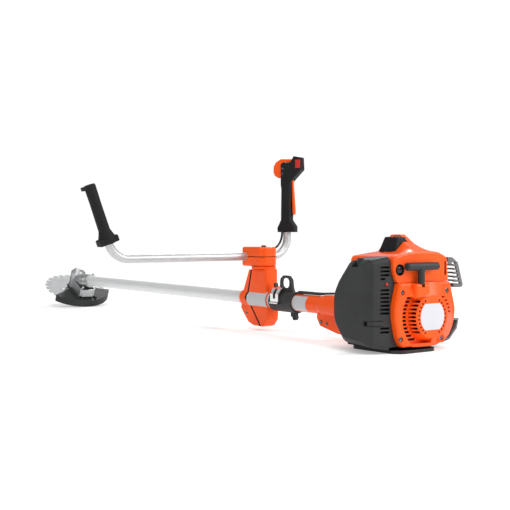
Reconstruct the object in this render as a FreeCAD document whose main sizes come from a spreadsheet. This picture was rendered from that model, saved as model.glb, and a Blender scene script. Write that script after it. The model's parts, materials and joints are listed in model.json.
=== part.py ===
import FreeCAD, Part
import math
import os
import re
import Sketcher

# Clearing saw: petrol engine, long shaft, handlebar and angle gear with a saw blade.
# The machine is modelled about its drive axis: X forward from the rear face of the starter,
# Y to the operator's left, Z up from the shaft's centre line. The last step stands it on the ground.

SIZES = {
    # fits and walls
    "wall": 2.5,
    "fit": 0.05,
    "gap": 0.4,
    "seam": 1.0,
    # shaft line
    "tube_radius": 17.5,
    "tube_bore": 15.8,
    "tube_start": 236,
    "tube_end": 1733,
    "shaft_radius": 4,
    "shaft_start": 208,
    "bushing_length": 30,
    "sleeve_radius": 22.3,
    "sleeve_start": 262,
    "sleeve_end": 577,
    "sleeve_flare": 31,
    "flare_end": 372,
    # angle gear and cutting head
    "gear_angle": 24,
    "apex_x": 1820,
    "pinion_teeth": 15,
    "crown_teeth": 21,
    "cone_length": 35,
    "gear_face": 8,
    "output_radius": 6,
    "gear_room": 23.6,
    "head_radius": 27,
    "head_top": 44,
    "collar_radius": 23.5,
    "collar_start": 1696,
    "blade_radius": 112.5,
    "blade_thickness": 1.6,
    "blade_drop": 36,
    "blade_teeth": 24,
    "guard_radius": 125,
    "guard_top": 25,
    "guard_skirt": 50,
    "guard_wall": 3,
    # handle mount and clamp
    "mount_half_width": 20,
    "mount_barrel": 26.5,
    "mount_top": 82,
    "swivel_x": 619.5,
    "swivel_flange_radius": 33,
    "clamp_bottom": 89,
    "bar_x": 665,
    "bar_z": 115,
    "bar_radius": 11,
    "bar_bore": 9,
    "clamp_top": 141,
    "clamp_rear": 590,
    "clamp_front": 688,
    "clamp_half_width": 29,
    # handlebar
    "bar_right": 114,
    "bar_left": 426.5,
    "bend_right": 50,
    "bend_left": 56,
    "grip_lean": 19.6,
    "grip_length": 152,
    "grip_radius": 14.5,
    "bar_right_top": 290,
    "throttle_base": 181,
    "throttle_top": 393,
    "throttle_turn": 30,
    # harness collar
    "harness_start": 468,
    "harness_end": 562,
    "harness_radius": 27.5,
    "eye_height": 68,
    "eye_x": 517,
    # engine
    "cylinder_x": 117,
    "case_start": 62,
    "case_end": 156,
    "case_half_width": 40,
    "case_bottom": -44,
    "case_top": 34,
    "crank_room": 34,
    "crank_throw": 16,
    "web_radius": 26,
    "web_width": 10,
    "journal_radius": 7.5,
    "rod_length": 58,
    "piston_radius": 20.95,
    "cylinder_bore": 21,
    "cylinder_top": 102,
    "fin_half_width": 38,
    "clutch_start": 166,
    "clutch_end": 186,
    "drum_bore": 33,
    "drum_radius": 35.5,
    "clutch_housing_radius": 45,
    "flywheel_x": 40,
    "flywheel_radius": 56,
    "pulley_x": 9,
    "pulley_radius": 25,
    "pulley_flange": 29.5,
    # housings
    "housing_left": 96,
    "housing_right": 91,
    "housing_top": 74,
    "housing_bottom": -64,
    "housing_face": 14,
    "housing_end": 60,
    "vent_radius": 75,
    "vent_floor": 22,
    "vent_slots": 12,
    "vent_pitch": 8.2,
    "nose_radius": 46,
    "nose_base": 56,
    "ring_slots": 28,
    "ring_radius": 40.5,
    "cover_face": 20,
    "cover_end": 156,
    "crest_top": 177,
    "filter_rear": 29,
    "filter_front": 165,
    "filter_face": 150,
    "filter_inner": 98,
    "filter_shoulder": 137,
    "filter_top": 132,
    "filter_bottom": -70,
    "tank_front": 176,
    "skid_rear": 12,
    "skid_rear_z": -77,
    "guard_low_x": 1726,
    "guard_low_z": -96.5,
    # where the resting machine's box is centred
    "centre_x": 968.4,
    "centre_y": 185,
}

doc = FreeCAD.newDocument("brush_cutter")
sheet = doc.addObject("Spreadsheet::Sheet", "sizes")
for row, (alias, value) in enumerate(SIZES.items(), start=1):
    sheet.set(f"A{row}", alias)
    sheet.set(f"B{row}", str(value))
    sheet.setAlias(f"B{row}", alias)
doc.recompute()

probe = doc.addObject("App::FeaturePython", "probe")
probe.addProperty("App::PropertyFloat", "Number")

# tops of the starter housing's screw heads
SCREW_PLACES = [(16, 75, 54), (16, 79, -46), (2, -30, -48.5), (13, -58, 54)]

PARTS = []
ALIAS = re.compile(r"[a-z][a-z_]+")
TURN = {"X": FreeCAD.Rotation(FreeCAD.Vector(0, 1, 0), 90),
        "Y": FreeCAD.Rotation(FreeCAD.Vector(1, 0, 0), -90),
        "Z": FreeCAD.Rotation()}
ROLES = {"X": "YZ_Plane", "Y": "XZ_Plane", "Z": "XY_Plane"}


# ---- expressions and placements ------------------------------------------------------------------

def bound(expression):
    """The expression with every alias pointed at the sheet."""
    return ALIAS.sub(lambda match: f"sizes.{match.group()}" if match.group() in SIZES else match.group(),
                     str(expression))


def number(expression):
    """The value that an expression of aliases has now."""
    probe.setExpression("Number", bound(expression))
    probe.recompute()
    return probe.Number


def point(x, y, z):
    return FreeCAD.Vector(number(x), number(y), number(z))


def keep(node, piece, placement=None):
    """Name a finished sub-part after its node and put it in its place on the machine."""
    piece.Label = node
    if placement is not None:
        piece.Placement = placement.multiply(piece.Placement)
    PARTS.append(piece)
    return piece


def head_frame():
    """The output shaft's frame: origin where the gear axes cross, Z up the output shaft, X forward."""
    return FreeCAD.Placement(point("apex_x", 0, 0), FreeCAD.Rotation(FreeCAD.Vector(0, -1, 0),
                                                                     number("gear_angle")))


def throttle_frame():
    """The throttle handle's frame: X the way its trigger points, Z up the handle."""
    return FreeCAD.Placement(point("bar_x", "-bar_right", 0),
                             FreeCAD.Rotation(FreeCAD.Vector(0, 0, 1), number("throttle_turn")))


def left_grip_frame():
    """The left grip's frame: origin at the bend's corner, Z up the leaning end of the bar."""
    return FreeCAD.Placement(point("bar_x", "bar_left", "bar_z"),
                             FreeCAD.Rotation(FreeCAD.Vector(-1, 0, 0), number("grip_lean")))


# ---- Part primitives bound to the sheet ----------------------------------------------------------

def set_base(solid, x, y, z):
    for letter, expression in zip("xyz", (x, y, z)):
        solid.setExpression(f"Placement.Base.{letter}", bound(expression))


def block(x, y, z):
    """A box between pairs of coordinates."""
    solid = doc.addObject("Part::Box", "block")
    for size, (low, high) in zip(("Length", "Width", "Height"), (x, y, z)):
        solid.setExpression(size, bound(f"({high}) - ({low})"))
    set_base(solid, x[0], y[0], z[0])
    return solid


def rod(axis, span, radius, across=(0, 0)):
    """A cylinder along an axis, with its other two coordinates given in X, Y, Z order."""
    solid = doc.addObject("Part::Cylinder", "rod")
    solid.Placement.Rotation = TURN[axis]
    solid.setExpression("Radius", bound(radius))
    solid.setExpression("Height", bound(f"({span[1]}) - ({span[0]})"))
    base = list(across)
    base.insert("XYZ".index(axis), span[0])
    set_base(solid, *base)
    return solid


def fuse(*solids):
    joined = doc.addObject("Part::MultiFuse", "joined")
    joined.Shapes = list(solids)
    joined.Refine = True
    return joined


def cut(base, *tools):
    result = doc.addObject("Part::Cut", "cut")
    result.Base = base
    result.Tool = tools[0] if len(tools) == 1 else fuse(*tools)
    return result


def group(*solids):
    compound = doc.addObject("Part::Compound", "set")
    compound.Links = list(solids)
    return compound


def shaped(shape):
    """A Part::Feature for an outline or a sweep that neither a sketch nor a primitive makes."""
    feature = doc.addObject("Part::Feature", "shaped")
    feature.Shape = shape
    return feature


def soften(base, radius, pick):
    """Round the edges that pick(edge) chooses."""
    doc.recompute()
    size = number(radius)
    result = doc.addObject("Part::Fillet", "rounded")
    result.Base = base
    result.Edges = [(i, size, size) for i, edge in enumerate(base.Shape.Edges, start=1) if pick(edge)]
    return result


def runs_along(letter):
    """A test for straight edges parallel to an axis."""
    axis = FreeCAD.Vector(*(1.0 if each == letter else 0.0 for each in "XYZ"))

    def test(edge):
        if edge.Curve.TypeId != "Part::GeomLine":
            return False
        return abs(abs(edge.Curve.Direction.dot(axis)) - 1) < 1e-6
    return test


def lies_across(letter):
    """A test for edges in a plane square to an axis."""
    return lambda edge: getattr(edge.BoundBox, f"{letter}Length") < 1e-3


# ---- PartDesign bodies ---------------------------------------------------------------------------

def new_body():
    return doc.addObject("PartDesign::Body", "body")


def new_sketch(body, role, depth=0):
    sketch = body.newObject("Sketcher::SketchObject", "outline")
    origin_plane = next(each for each in body.Origin.OriginFeatures if each.Role == role)
    sketch.AttachmentSupport = [(origin_plane, "")]
    sketch.MapMode = "FlatFace"
    sketch.setExpression("AttachmentOffset.Base.z", bound(depth))
    return sketch


def pin_point(sketch, line, corner, x, y):
    """Hold one point of a sketch line at coordinates bound to the sheet."""
    for kind, expression in (("DistanceX", x), ("DistanceY", y)):
        index = sketch.addConstraint(Sketcher.Constraint(kind, -1, 1, line, corner, number(expression)))
        if ALIAS.search(str(expression)):
            sketch.setExpression(f"Constraints[{index}]", bound(expression))


def draw_outline(sketch, outline):
    """A closed run of straight lines through points whose coordinates are expressions."""
    corners = [point(x, y, 0) for x, y in outline]
    first = sketch.GeometryCount
    count = len(corners)
    for i, corner in enumerate(corners):
        sketch.addGeometry(Part.LineSegment(corner, corners[(i + 1) % count]))
    for i in range(count):
        following = first + (i + 1) % count
        sketch.addConstraint(Sketcher.Constraint("Coincident", first + i, 2, following, 1))
    for i, (x, y) in enumerate(outline):
        pin_point(sketch, first + i, 1, x, y)


def draw_circle(sketch, radius, x=0, y=0):
    index = sketch.addGeometry(Part.Circle(point(x, y, 0), FreeCAD.Vector(0, 0, 1), number(radius)))
    pin_point(sketch, index, 3, x, y)
    size = sketch.addConstraint(Sketcher.Constraint("Radius", index, number(radius)))
    sketch.setExpression(f"Constraints[{size}]", bound(radius))


def turned(axis, outline):
    """A body turned about X, Y or Z: outline points are (along the axis, radius)."""
    body = new_body()
    role = "XY_Plane" if axis == "Y" else "XZ_Plane"
    sketch = new_sketch(body, role)
    draw_outline(sketch, outline if axis == "X" else [(radius, along) for along, radius in outline])
    spin = body.newObject("PartDesign::Revolution", "spin")
    spin.Profile = sketch
    spin.ReferenceAxis = (sketch, ["H_Axis" if axis == "X" else "V_Axis"])
    spin.Angle = 360
    return body


def plate(axis, span, outline, *holes):
    """A body padded along an axis from a straight-edged outline, with round holes (radius, x, y)."""
    body = new_body()
    sketch = new_sketch(body, ROLES[axis], f"-({span[1]})" if axis == "Y" else span[0])
    draw_outline(sketch, outline)
    for hole in holes:
        draw_circle(sketch, *hole)
    pad = body.newObject("PartDesign::Pad", "pad")
    pad.Profile = sketch
    pad.setExpression("Length", bound(f"({span[1]}) - ({span[0]})"))
    return body


def disc(axis, span, radius, *holes):
    """A body padded along an axis from a circle, with round holes (radius, x, y)."""
    body = new_body()
    sketch = new_sketch(body, ROLES[axis], f"-({span[1]})" if axis == "Y" else span[0])
    draw_circle(sketch, radius)
    for hole in holes:
        draw_circle(sketch, *hole)
    pad = body.newObject("PartDesign::Pad", "pad")
    pad.Profile = sketch
    pad.setExpression("Length", bound(f"({span[1]}) - ({span[0]})"))
    return body


def pad_up(body, sketch, length):
    """Another pad of a body, from its own sketch."""
    pad = body.newObject("PartDesign::Pad", "pad")
    pad.Profile = sketch
    pad.setExpression("Length", bound(length))
    return pad


def repeat_around(body, feature, sketch, count):
    """Repeat a feature about the axis through its sketch's origin."""
    doc.recompute()
    pattern = body.newObject("PartDesign::PolarPattern", "ring")
    pattern.Originals = [feature]
    pattern.Axis = (sketch, ["N_Axis"])
    pattern.Angle = 360
    pattern.setExpression("Occurrences", bound(count))
    body.Tip = pattern
    return body


def round_edges(body, radius, pick):
    """Fillet a body's edges that pick(edge) chooses."""
    doc.recompute()
    base = body.Tip
    fillet = body.newObject("PartDesign::Fillet", "fillet")
    names = [f"Edge{i}" for i, edge in enumerate(base.Shape.Edges, start=1) if pick(edge)]
    fillet.Base = (base, names)
    fillet.setExpression("Radius", bound(radius))
    return body


def bevel_edges(body, size, pick):
    """Chamfer a body's edges that pick(edge) chooses."""
    doc.recompute()
    base = body.Tip
    chamfer = body.newObject("PartDesign::Chamfer", "chamfer")
    names = [f"Edge{i}" for i, edge in enumerate(base.Shape.Edges, start=1) if pick(edge)]
    chamfer.Base = (base, names)
    chamfer.setExpression("Size", bound(size))
    return body


# ---- sweeps --------------------------------------------------------------------------------------

def bent_path(points, radii):
    """Straight runs through points, joined by tangent arcs of the given radii."""
    edges = []
    start = points[0]
    for corner, before, after, radius in zip(points[1:-1], points[:-2], points[2:], radii):
        back = (before - corner).normalize()
        ahead = (after - corner).normalize()
        half_turn = (math.pi - back.getAngle(ahead)) / 2
        reach = radius * math.tan(half_turn)
        middle_way = (back + ahead).normalize()
        centre = corner + middle_way * (radius / math.cos(half_turn))
        arc_start = corner + back * reach
        arc_end = corner + ahead * reach
        edges.append(Part.LineSegment(start, arc_start).toShape())
        edges.append(Part.Arc(arc_start, centre - middle_way * radius, arc_end).toShape())
        start = arc_end
    edges.append(Part.LineSegment(start, points[-1]).toShape())
    return Part.Wire(edges)


def pipe(path, radius):
    start = path.Edges[0]
    direction = start.tangentAt(start.FirstParameter)
    circle = Part.Circle(start.valueAt(start.FirstParameter), direction, radius)
    return path.makePipe(Part.Face(Part.Wire(circle.toShape())))


def easy_radii(points):
    """The largest even arcs that a free route's runs allow."""
    radii = []
    for corner, before, after in zip(points[1:-1], points[:-2], points[2:]):
        turn = math.pi - (before - corner).getAngle(after - corner)
        shorter = min((before - corner).Length, (after - corner).Length)
        radii.append(0.45 * shorter / math.tan(turn / 2))
    return radii


# ---- shaft line ----------------------------------------------------------------------------------

def shaft_tube():
    body = disc("X", ("tube_start", "tube_end"), "tube_radius", ("tube_bore", 0, 0))
    return keep("shaft_tube", body)


def shaft_bushings(count=6):
    rings = []
    for i in range(count):
        start = f"tube_start + 120 + {i} * 250"
        ring = rod("X", (start, f"{start} + bushing_length"), "tube_bore")
        hole = rod("X", (start, f"{start} + bushing_length"), "shaft_radius + fit")
        rings.append(cut(ring, hole))
    return keep("shaft_bushings", group(*rings))


def drive_shaft():
    return keep("drive_shaft", disc("X", ("shaft_start", "apex_x - 24"), "shaft_radius"))


def shaft_sleeve():
    """Plastic sleeve over the tube, flared where it meets the clutch housing, with a web below it."""
    tube = turned("X", [("sleeve_start", "tube_radius + fit"), ("sleeve_end", "tube_radius + fit"),
                        ("sleeve_end", "sleeve_radius"), ("flare_end", "sleeve_radius"),
                        ("flare_end - 12", "sleeve_radius + 3"), ("sleeve_start + 26", "sleeve_flare - 1"),
                        ("sleeve_start", "sleeve_flare")])
    web = plate("Y", (-13, 13), [("sleeve_start", "-26"), ("flare_end + 4", "-20"),
                                 ("flare_end + 6", "-30"),
                                 ("flare_end - 7", "-50"), ("sleeve_start + 38", "-64"),
                                 ("sleeve_start", "-66")])
    bore = rod("X", ("sleeve_start - 1", "sleeve_end + 1"), "tube_radius + fit")
    return keep("shaft_sleeve", cut(fuse(tube, web), bore))


def cable_conduit():
    """Conduit that carries the throttle cable and the stop leads along the top of the sleeve."""
    low, high = "sleeve_radius + 1.2", "sleeve_radius + 8.7"
    body = plate("Y", (-4.2, 4.2), [("flare_end - 46", "sleeve_radius + 6.3"),
                                    ("flare_end - 12", "sleeve_radius + 4"),
                                    ("flare_end + 6", low), ("harness_start - 4", low),
                                    ("harness_start - 4", high),
                                    ("flare_end + 4", high), ("flare_end - 46", "sleeve_radius + 12")])
    upper = lambda edge: edge.CenterOfMass.z > number("sleeve_radius + 8") and not lies_across("Y")(edge)
    return keep("cable_conduit", round_edges(body, "2", upper))


# ---- angle gear ----------------------------------------------------------------------------------

def pitch_cones():
    """Half angles of the pinion's and the crown's pitch cones."""
    shaft_angle = math.radians(90 - number("gear_angle"))
    ratio = number("crown_teeth") / number("pinion_teeth")
    pinion = math.atan2(math.sin(shaft_angle), ratio + math.cos(shaft_angle))
    return pinion, shaft_angle - pinion


def cone_point(distance, angle, height, side):
    """A point at a distance from the apex along the pitch cone, stood off from it and moved sideways."""
    radius = distance * math.sin(angle) + height * math.cos(angle)
    along = distance * math.cos(angle) - height * math.sin(angle)
    return FreeCAD.Vector(radius, side, along)


def tooth_section(distance, scale, angle, module, foot):
    """One tooth's outline across its length, tapering with the distance from the apex."""
    tip = 0.55 * module * scale
    root = -foot * module * scale
    half_tip = 0.22 * module * scale
    half_root = half_tip + (tip - root) * 0.42
    corners = [cone_point(distance, angle, root, -half_root), cone_point(distance, angle, tip, -half_tip),
               cone_point(distance, angle, tip, half_tip), cone_point(distance, angle, root, half_root)]
    return Part.makePolygon(corners + corners[:1])


def bevel_gear(teeth, angle, bore, back, phase):
    """A straight-toothed bevel gear with its apex at the origin and its axis along Z."""
    outer = number("cone_length")
    inner = outer - number("gear_face")
    module = 2 * outer * math.sin(angle) / teeth
    depth = 0.8 * module
    taper = inner / outer
    ring = [cone_point(inner, angle, -depth * taper, 0), cone_point(outer, angle, -depth, 0)]
    top = ring[1].z + back
    profile = Part.makePolygon([FreeCAD.Vector(bore, 0, ring[0].z), ring[0], ring[1],
                                FreeCAD.Vector(ring[1].x, 0, top),
                                FreeCAD.Vector(bore, 0, top), FreeCAD.Vector(bore, 0, ring[0].z)])
    blank = Part.Face(profile).revolve(FreeCAD.Vector(), FreeCAD.Vector(0, 0, 1), 360)
    tooth = Part.makeLoft([tooth_section(inner, taper, angle, module, 1.2),
                           tooth_section(outer, 1, angle, module, 1.2)], True, True)
    solids = []
    for i in range(teeth):
        copy = tooth.copy()
        copy.rotate(FreeCAD.Vector(), FreeCAD.Vector(0, 0, 1), (i + phase) * 360 / teeth)
        solids.append(copy)
    return blank.multiFuse(solids).removeSplitter()


def pinion_gear():
    shape = bevel_gear(int(number("pinion_teeth")), pitch_cones()[0], number("shaft_radius"), 4, 0)
    placement = FreeCAD.Placement(point("apex_x", 0, 0), FreeCAD.Rotation(FreeCAD.Vector(0, -1, 0), 90))
    return keep("pinion_gear", shaped(shape), placement)


def crown_gear():
    shape = bevel_gear(int(number("crown_teeth")), pitch_cones()[1], number("output_radius"), 3, 0)
    return keep("crown_gear", shaped(shape), head_frame())


def output_shaft():
    body = turned("Z", [("-blade_drop - 22", "0"), ("-blade_drop - 22", "4.4"), ("-blade_drop - 21", "5"),
                        ("-blade_drop - 3", "5"), ("-blade_drop - 3", "output_radius"),
                        ("-blade_drop + 11", "output_radius"), ("-blade_drop + 11", "9"), ("-16", "9"),
                        ("-16", "output_radius"), ("32", "output_radius"), ("32", "5"), ("38.5", "5"),
                        ("38.5", "0")])
    return keep("output_shaft", body, head_frame())


def gear_housing():
    """Cast housing: a split collar on the tube, the gear chamber and the output bearing's barrel."""
    head = head_frame()
    chamber = turned("Z", [("-23", "0"), ("-23", "head_radius - 4"), ("-20", "head_radius"),
                           ("head_top - 14", "head_radius"), ("head_top - 4", "head_radius - 9"),
                           ("head_top", "11"),
                           ("head_top", "0")])
    chamber.Placement = head
    room = turned("Z", [("-10", "0"), ("-10", "gear_room"), ("head_top - 14", "gear_room"),
                        ("head_top - 11", "gear_room - 4"), ("head_top - 11", "0")])
    room.Placement = head
    lower_seat = turned("Z", [("-24", "0"), ("-24", "13"), ("-9", "13"), ("-9", "0")])
    lower_seat.Placement = head
    upper_seat = turned("Z", [("head_top - 12", "0"), ("head_top - 12", "9"), ("head_top - 5", "9"),
                              ("head_top - 5", "0")])
    upper_seat.Placement = head
    boss = block(("collar_start + 7", "collar_start + 17"), (-17, -7), (10, 22.2))
    collar = rod("X", ("collar_start", "apex_x - 10"), "collar_radius")
    lug = block(("collar_start + 6", "collar_start + 38"), ("tube_radius", "32"), (-12, 13))
    slit = block(("collar_start - 1", "tube_end"), ("tube_radius - 3", "33"), ("-seam", "seam"))
    socket = rod("X", ("collar_start - 1", "tube_end"), "tube_radius")
    pinion_way = rod("X", ("tube_end - 1", "apex_x - 10"), "17")
    solid = cut(fuse(chamber, collar, lug, boss), room, lower_seat, upper_seat, slit, socket, pinion_way)
    return keep("gear_housing", solid)


def bearing_ring(span, outer, inner):
    """A sealed ball bearing, drawn as its races and seals in one ring."""
    low, high = span
    groove = "0.6"
    return turned("X", [(low, inner), (low, f"({inner}) + 1.6"),
                        (f"({low}) + {groove}", f"({inner}) + 1.9"),
                        (f"({low}) + {groove}", f"({outer}) - 1.9"), (low, f"({outer}) - 1.6"),
                        (low, outer),
                        (high, outer), (high, f"({outer}) - 1.6"),
                        (f"({high}) - {groove}", f"({outer}) - 1.9"),
                        (f"({high}) - {groove}", f"({inner}) + 1.9"), (high, f"({inner}) + 1.6"),
                        (high, inner)])


def ball_bearings():
    """Bearings of the crankshaft, the clutch drum, the pinion and the output shaft."""
    crank_rear = bearing_ring(("case_start + 8", "case_start + 19"), "16", "journal_radius + fit")
    crank_front = bearing_ring(("case_end - 19", "case_end - 8"), "16", "journal_radius + fit")
    drum = bearing_ring(("tube_start - 14", "tube_start - 4"), "14", "shaft_radius + fit")
    pinion = bearing_ring(("tube_end + 8", "tube_end + 24"), "17", "shaft_radius + fit")
    output = bearing_ring(("-22", "-12"), "13", "9 + fit")
    top = bearing_ring(("head_top - 10.8", "head_top - 5.2"), "9", "5 + fit")
    upright = head_frame().multiply(FreeCAD.Placement(FreeCAD.Vector(),
                                                      FreeCAD.Rotation(FreeCAD.Vector(0, -1, 0), 90)))
    for bearing in (output, top):
        bearing.Placement = upright
    return keep("ball_bearings", group(crank_rear, crank_front, drum, pinion, output, top))


def drive_disc():
    body = turned("Z", [("-blade_drop", "output_radius"), ("-blade_drop", "25"), ("-blade_drop + 3", "25"),
                        ("-blade_drop + 6", "15"), ("-blade_drop + 11", "15"),
                        ("-blade_drop + 11", "output_radius")])
    return keep("drive_disc", body, head_frame())


def saw_blade():
    """Clearing saw blade: a disc with gullets cut in its rim, four vents and the centre hole."""
    low = "-blade_drop - blade_thickness"
    body = disc("Z", (low, "-blade_drop"), "blade_radius", ("output_radius", 0, 0), (5, 48, 0), (5, -48, 0),
                (5, 0, 48), (5, 0, -48))
    gullet = new_sketch(body, "XY_Plane", low)
    draw_outline(gullet, [("blade_radius + 1", "-2.4"), ("blade_radius + 1", "9.5"),
                          ("blade_radius - 8", "6"),
                          ("blade_radius - 11", "2.2"), ("blade_radius - 10", "-1.2")])
    pocket = body.newObject("PartDesign::Pocket", "gullets")
    pocket.Profile = gullet
    pocket.Reversed = True
    pocket.setExpression("Length", bound("blade_thickness"))
    repeat_around(body, pocket, gullet, "blade_teeth")
    return keep("saw_blade", body, head_frame())


def support_flange():
    low = "-blade_drop - blade_thickness"
    body = turned("Z", [(low, "output_radius"), (low, "25"), (f"{low} - 3", "25"), (f"{low} - 8", "16"),
                        (f"{low} - 8", "5 + fit"), (f"{low} - 1.5", "5 + fit"),
                        (f"{low} - 1.5", "output_radius")])
    return keep("support_flange", body, head_frame())


def lock_nut():
    low = "-blade_drop - blade_thickness - 8"
    across = 9.5
    hexagon = [(f"{across} / cos(30) * cos({60 * i + 30})", f"{across} / cos(30) * sin({60 * i + 30})")
               for i in range(6)]
    body = plate("Z", (f"{low} - 9", low), hexagon, ("5 + fit", 0, 0))
    return keep("lock_nut", body, head_frame())


def guard_bracket():
    """U-shaped casting under the tube that ties the blade guard to the gear housing."""
    outer = [("-22", "-29.5"), ("-100", "-29.5"), ("-109", "-21"), ("-109", "21"), ("-100", "29.5"),
             ("-22", "29.5"),
             ("-22", "24.2"), ("-98", "24.2"), ("-103", "19"), ("-103", "-19"), ("-98", "-24.2"),
             ("-22", "-24.2")]
    loop = plate("Z", ("-16.5", "11"), outer)
    ledge = plate("Z", ("-guard_top", "-16.5"),
                  [("-90", "-29.5"), ("-90", "29.5"), ("14", "29.5"), ("14", "-29.5")])
    chamber = rod("Z", ("-40", "20"), "head_radius")
    return keep("guard_bracket", cut(fuse(loop, ledge), chamber), head_frame())


def blade_guard():
    """Half guard of saw blade type: a sector plate with a skirt outside the blade's rim."""
    outer = number("guard_radius")
    wall = number("guard_wall")
    top = -number("guard_top")
    bottom = -number("guard_skirt")
    sweep = 128.0
    start = 122.0
    axis = FreeCAD.Vector(0, 0, 1)
    turn = FreeCAD.Rotation(axis, start)
    slab = Part.makeCylinder(outer, wall, FreeCAD.Vector(0, 0, top - wall), axis, sweep)
    ring = Part.makeCylinder(outer, top - bottom, FreeCAD.Vector(0, 0, bottom), axis, sweep)
    inside = Part.makeCylinder(outer - wall, top - bottom, FreeCAD.Vector(0, 0, bottom), axis, sweep)
    shape = slab.fuse(ring.cut(inside))
    shape.rotate(FreeCAD.Vector(), axis, start)
    plate_ahead = Part.makeCylinder(34, wall, FreeCAD.Vector(0, 0, top - wall), axis, 360)
    hole = Part.makeCylinder(26, 20, FreeCAD.Vector(0, 0, top - 10), axis, 360)
    shape = shape.fuse(plate_ahead).cut(hole).removeSplitter()
    return keep("blade_guard", shaped(shape), head_frame())


# ---- handle mount and clamp ----------------------------------------------------------------------

def handle_mount_rear():
    """Rear half of the handle mount: neck, barrel round the tube and foot."""
    side = plate("Y", ("-mount_half_width", "mount_half_width"),
                 [("584", "mount_top"), ("648", "mount_top"), ("669", "2"), ("606", "-73"), ("594", "-69"),
                  ("580", "-53"), ("578", "-26"), ("583", "26")])
    round_edges(side, "4", lies_across("Y"))
    barrel = rod("X", ("sleeve_end", 660), "mount_barrel")
    ledge = rod("Z", ("mount_top", "clamp_bottom - gap"), "swivel_flange_radius", ("swivel_x", 0))
    tube = rod("X", (500, 800), "tube_radius + fit")
    bolt = rod("Z", (40, 100), "4.3", ("swivel_x", 0))
    half = cut(fuse(side, barrel, ledge), tube, bolt, mount_seam_wedge())
    return keep("handle_mount_rear", half)


def mount_seam_wedge():
    """Everything ahead of the mount's inclined seam."""
    return plate("Y", (-60, 60), [("649", "mount_top + 0.01"), ("670", "2"), ("607", "-74"), ("607", "-90"),
                                  ("740", "-90"),
                                  ("740", "mount_top + 0.01")])


def mount_front_wedge():
    """Everything behind the mount's inclined seam, with the seam's own thickness."""
    return plate("Y", (-60, 60), [("653", "mount_top + 0.01"), ("674", "2"), ("611", "-74"), ("611", "-90"),
                                  ("500", "-90"),
                                  ("500", "mount_top + 0.01")])


def handle_mount_front():
    """Front half of the handle mount, with the barrel's rounded end."""
    side = plate("Y", ("-mount_half_width + 1", "mount_half_width - 1"),
                 [("640", "mount_top - 2"), ("640", "2"), ("590", "-73"), ("644", "-72"), ("666", "-65"),
                  ("684", "-48"), ("702", "-28"), ("699", "4"), ("664", "mount_top - 3")])
    round_edges(side, "3", lies_across("Y"))
    barrel = turned("X", [("600", "10"), ("600", "mount_barrel"), ("694", "mount_barrel"),
                          ("702", "mount_barrel - 2.5"),
                          ("706", "mount_barrel - 7"), ("706", "10")])
    tube = rod("X", (500, 800), "tube_radius + fit")
    return keep("handle_mount_front", cut(fuse(side, barrel), tube, mount_front_wedge()))


def clamp_outline():
    """Plan of the bar clamp, seen from above."""
    front, rear, half = "clamp_front", "clamp_rear", "clamp_half_width"
    return [(rear, f"-{half} + 14"), (f"{rear} + 12", f"-{half}"), (f"{front} - 8", f"-{half}"),
            (front, f"-{half} + 8"),
            (front, f"{half} - 8"), (f"{front} - 8", half), (f"{rear} + 12", half), (rear, f"{half} - 14")]


def clamp_half(low, high, rim_z):
    """One half of the bar clamp, with its outer rim rounded at a given height."""
    level = number(rim_z)
    body = plate("Z", (low, high), clamp_outline())
    round_edges(body, "9", runs_along("Z"))
    return round_edges(body, "5", lambda edge: abs(edge.BoundBox.ZMin - level) < 0.01
                       and abs(edge.BoundBox.ZMax - level) < 0.01)


def clamp_base():
    groove = rod("Y", (-60, 60), "bar_radius", ("bar_x", "bar_z"))
    bolt = rod("Z", (60, 150), "4.3", ("swivel_x", 0))
    return keep("clamp_base", cut(clamp_half("clamp_bottom", "bar_z - seam", "clamp_bottom"), groove, bolt))


def clamp_top():
    groove = rod("Y", (-60, 60), "bar_radius", ("bar_x", "bar_z"))
    bolt = rod("Z", (60, 150), "4.3", ("swivel_x", 0))
    return keep("clamp_top", cut(clamp_half("bar_z + seam", "clamp_top", "clamp_top"), groove, bolt))


def clamp_bolt():
    """Bolt down the middle of the clamp, on which the handlebar swivels."""
    body = turned("Z", [("46", "0"), ("46", "3.9"), ("clamp_top + 0.2", "3.9"), ("clamp_top + 0.2", "6.5"),
                        ("clamp_top + 4", "6.5"),
                        ("clamp_top + 5", "5.5"), ("clamp_top + 5", "2.5"), ("clamp_top + 2", "2.5"),
                        ("clamp_top + 2", "0")])
    body.Placement = FreeCAD.Placement(point("swivel_x", 0, 0), FreeCAD.Rotation())
    return body


# ---- handlebar -----------------------------------------------------------------------------------

def handlebar():
    lean = math.radians(number("grip_lean"))
    corner_left = point("bar_x", "bar_left", "bar_z")
    reach = 41 + number("grip_length") - 10
    tip_left = corner_left + FreeCAD.Vector(0, math.sin(lean), math.cos(lean)) * reach
    points = [point("bar_x", "-bar_right", "bar_right_top"), point("bar_x", "-bar_right", "bar_z"),
              corner_left, tip_left]
    path = bent_path(points, [number("bend_right"), number("bend_left")])
    shape = pipe(path, number("bar_radius")).cut(pipe(path, number("bar_bore")))
    return keep("handlebar", shaped(shape))


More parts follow.
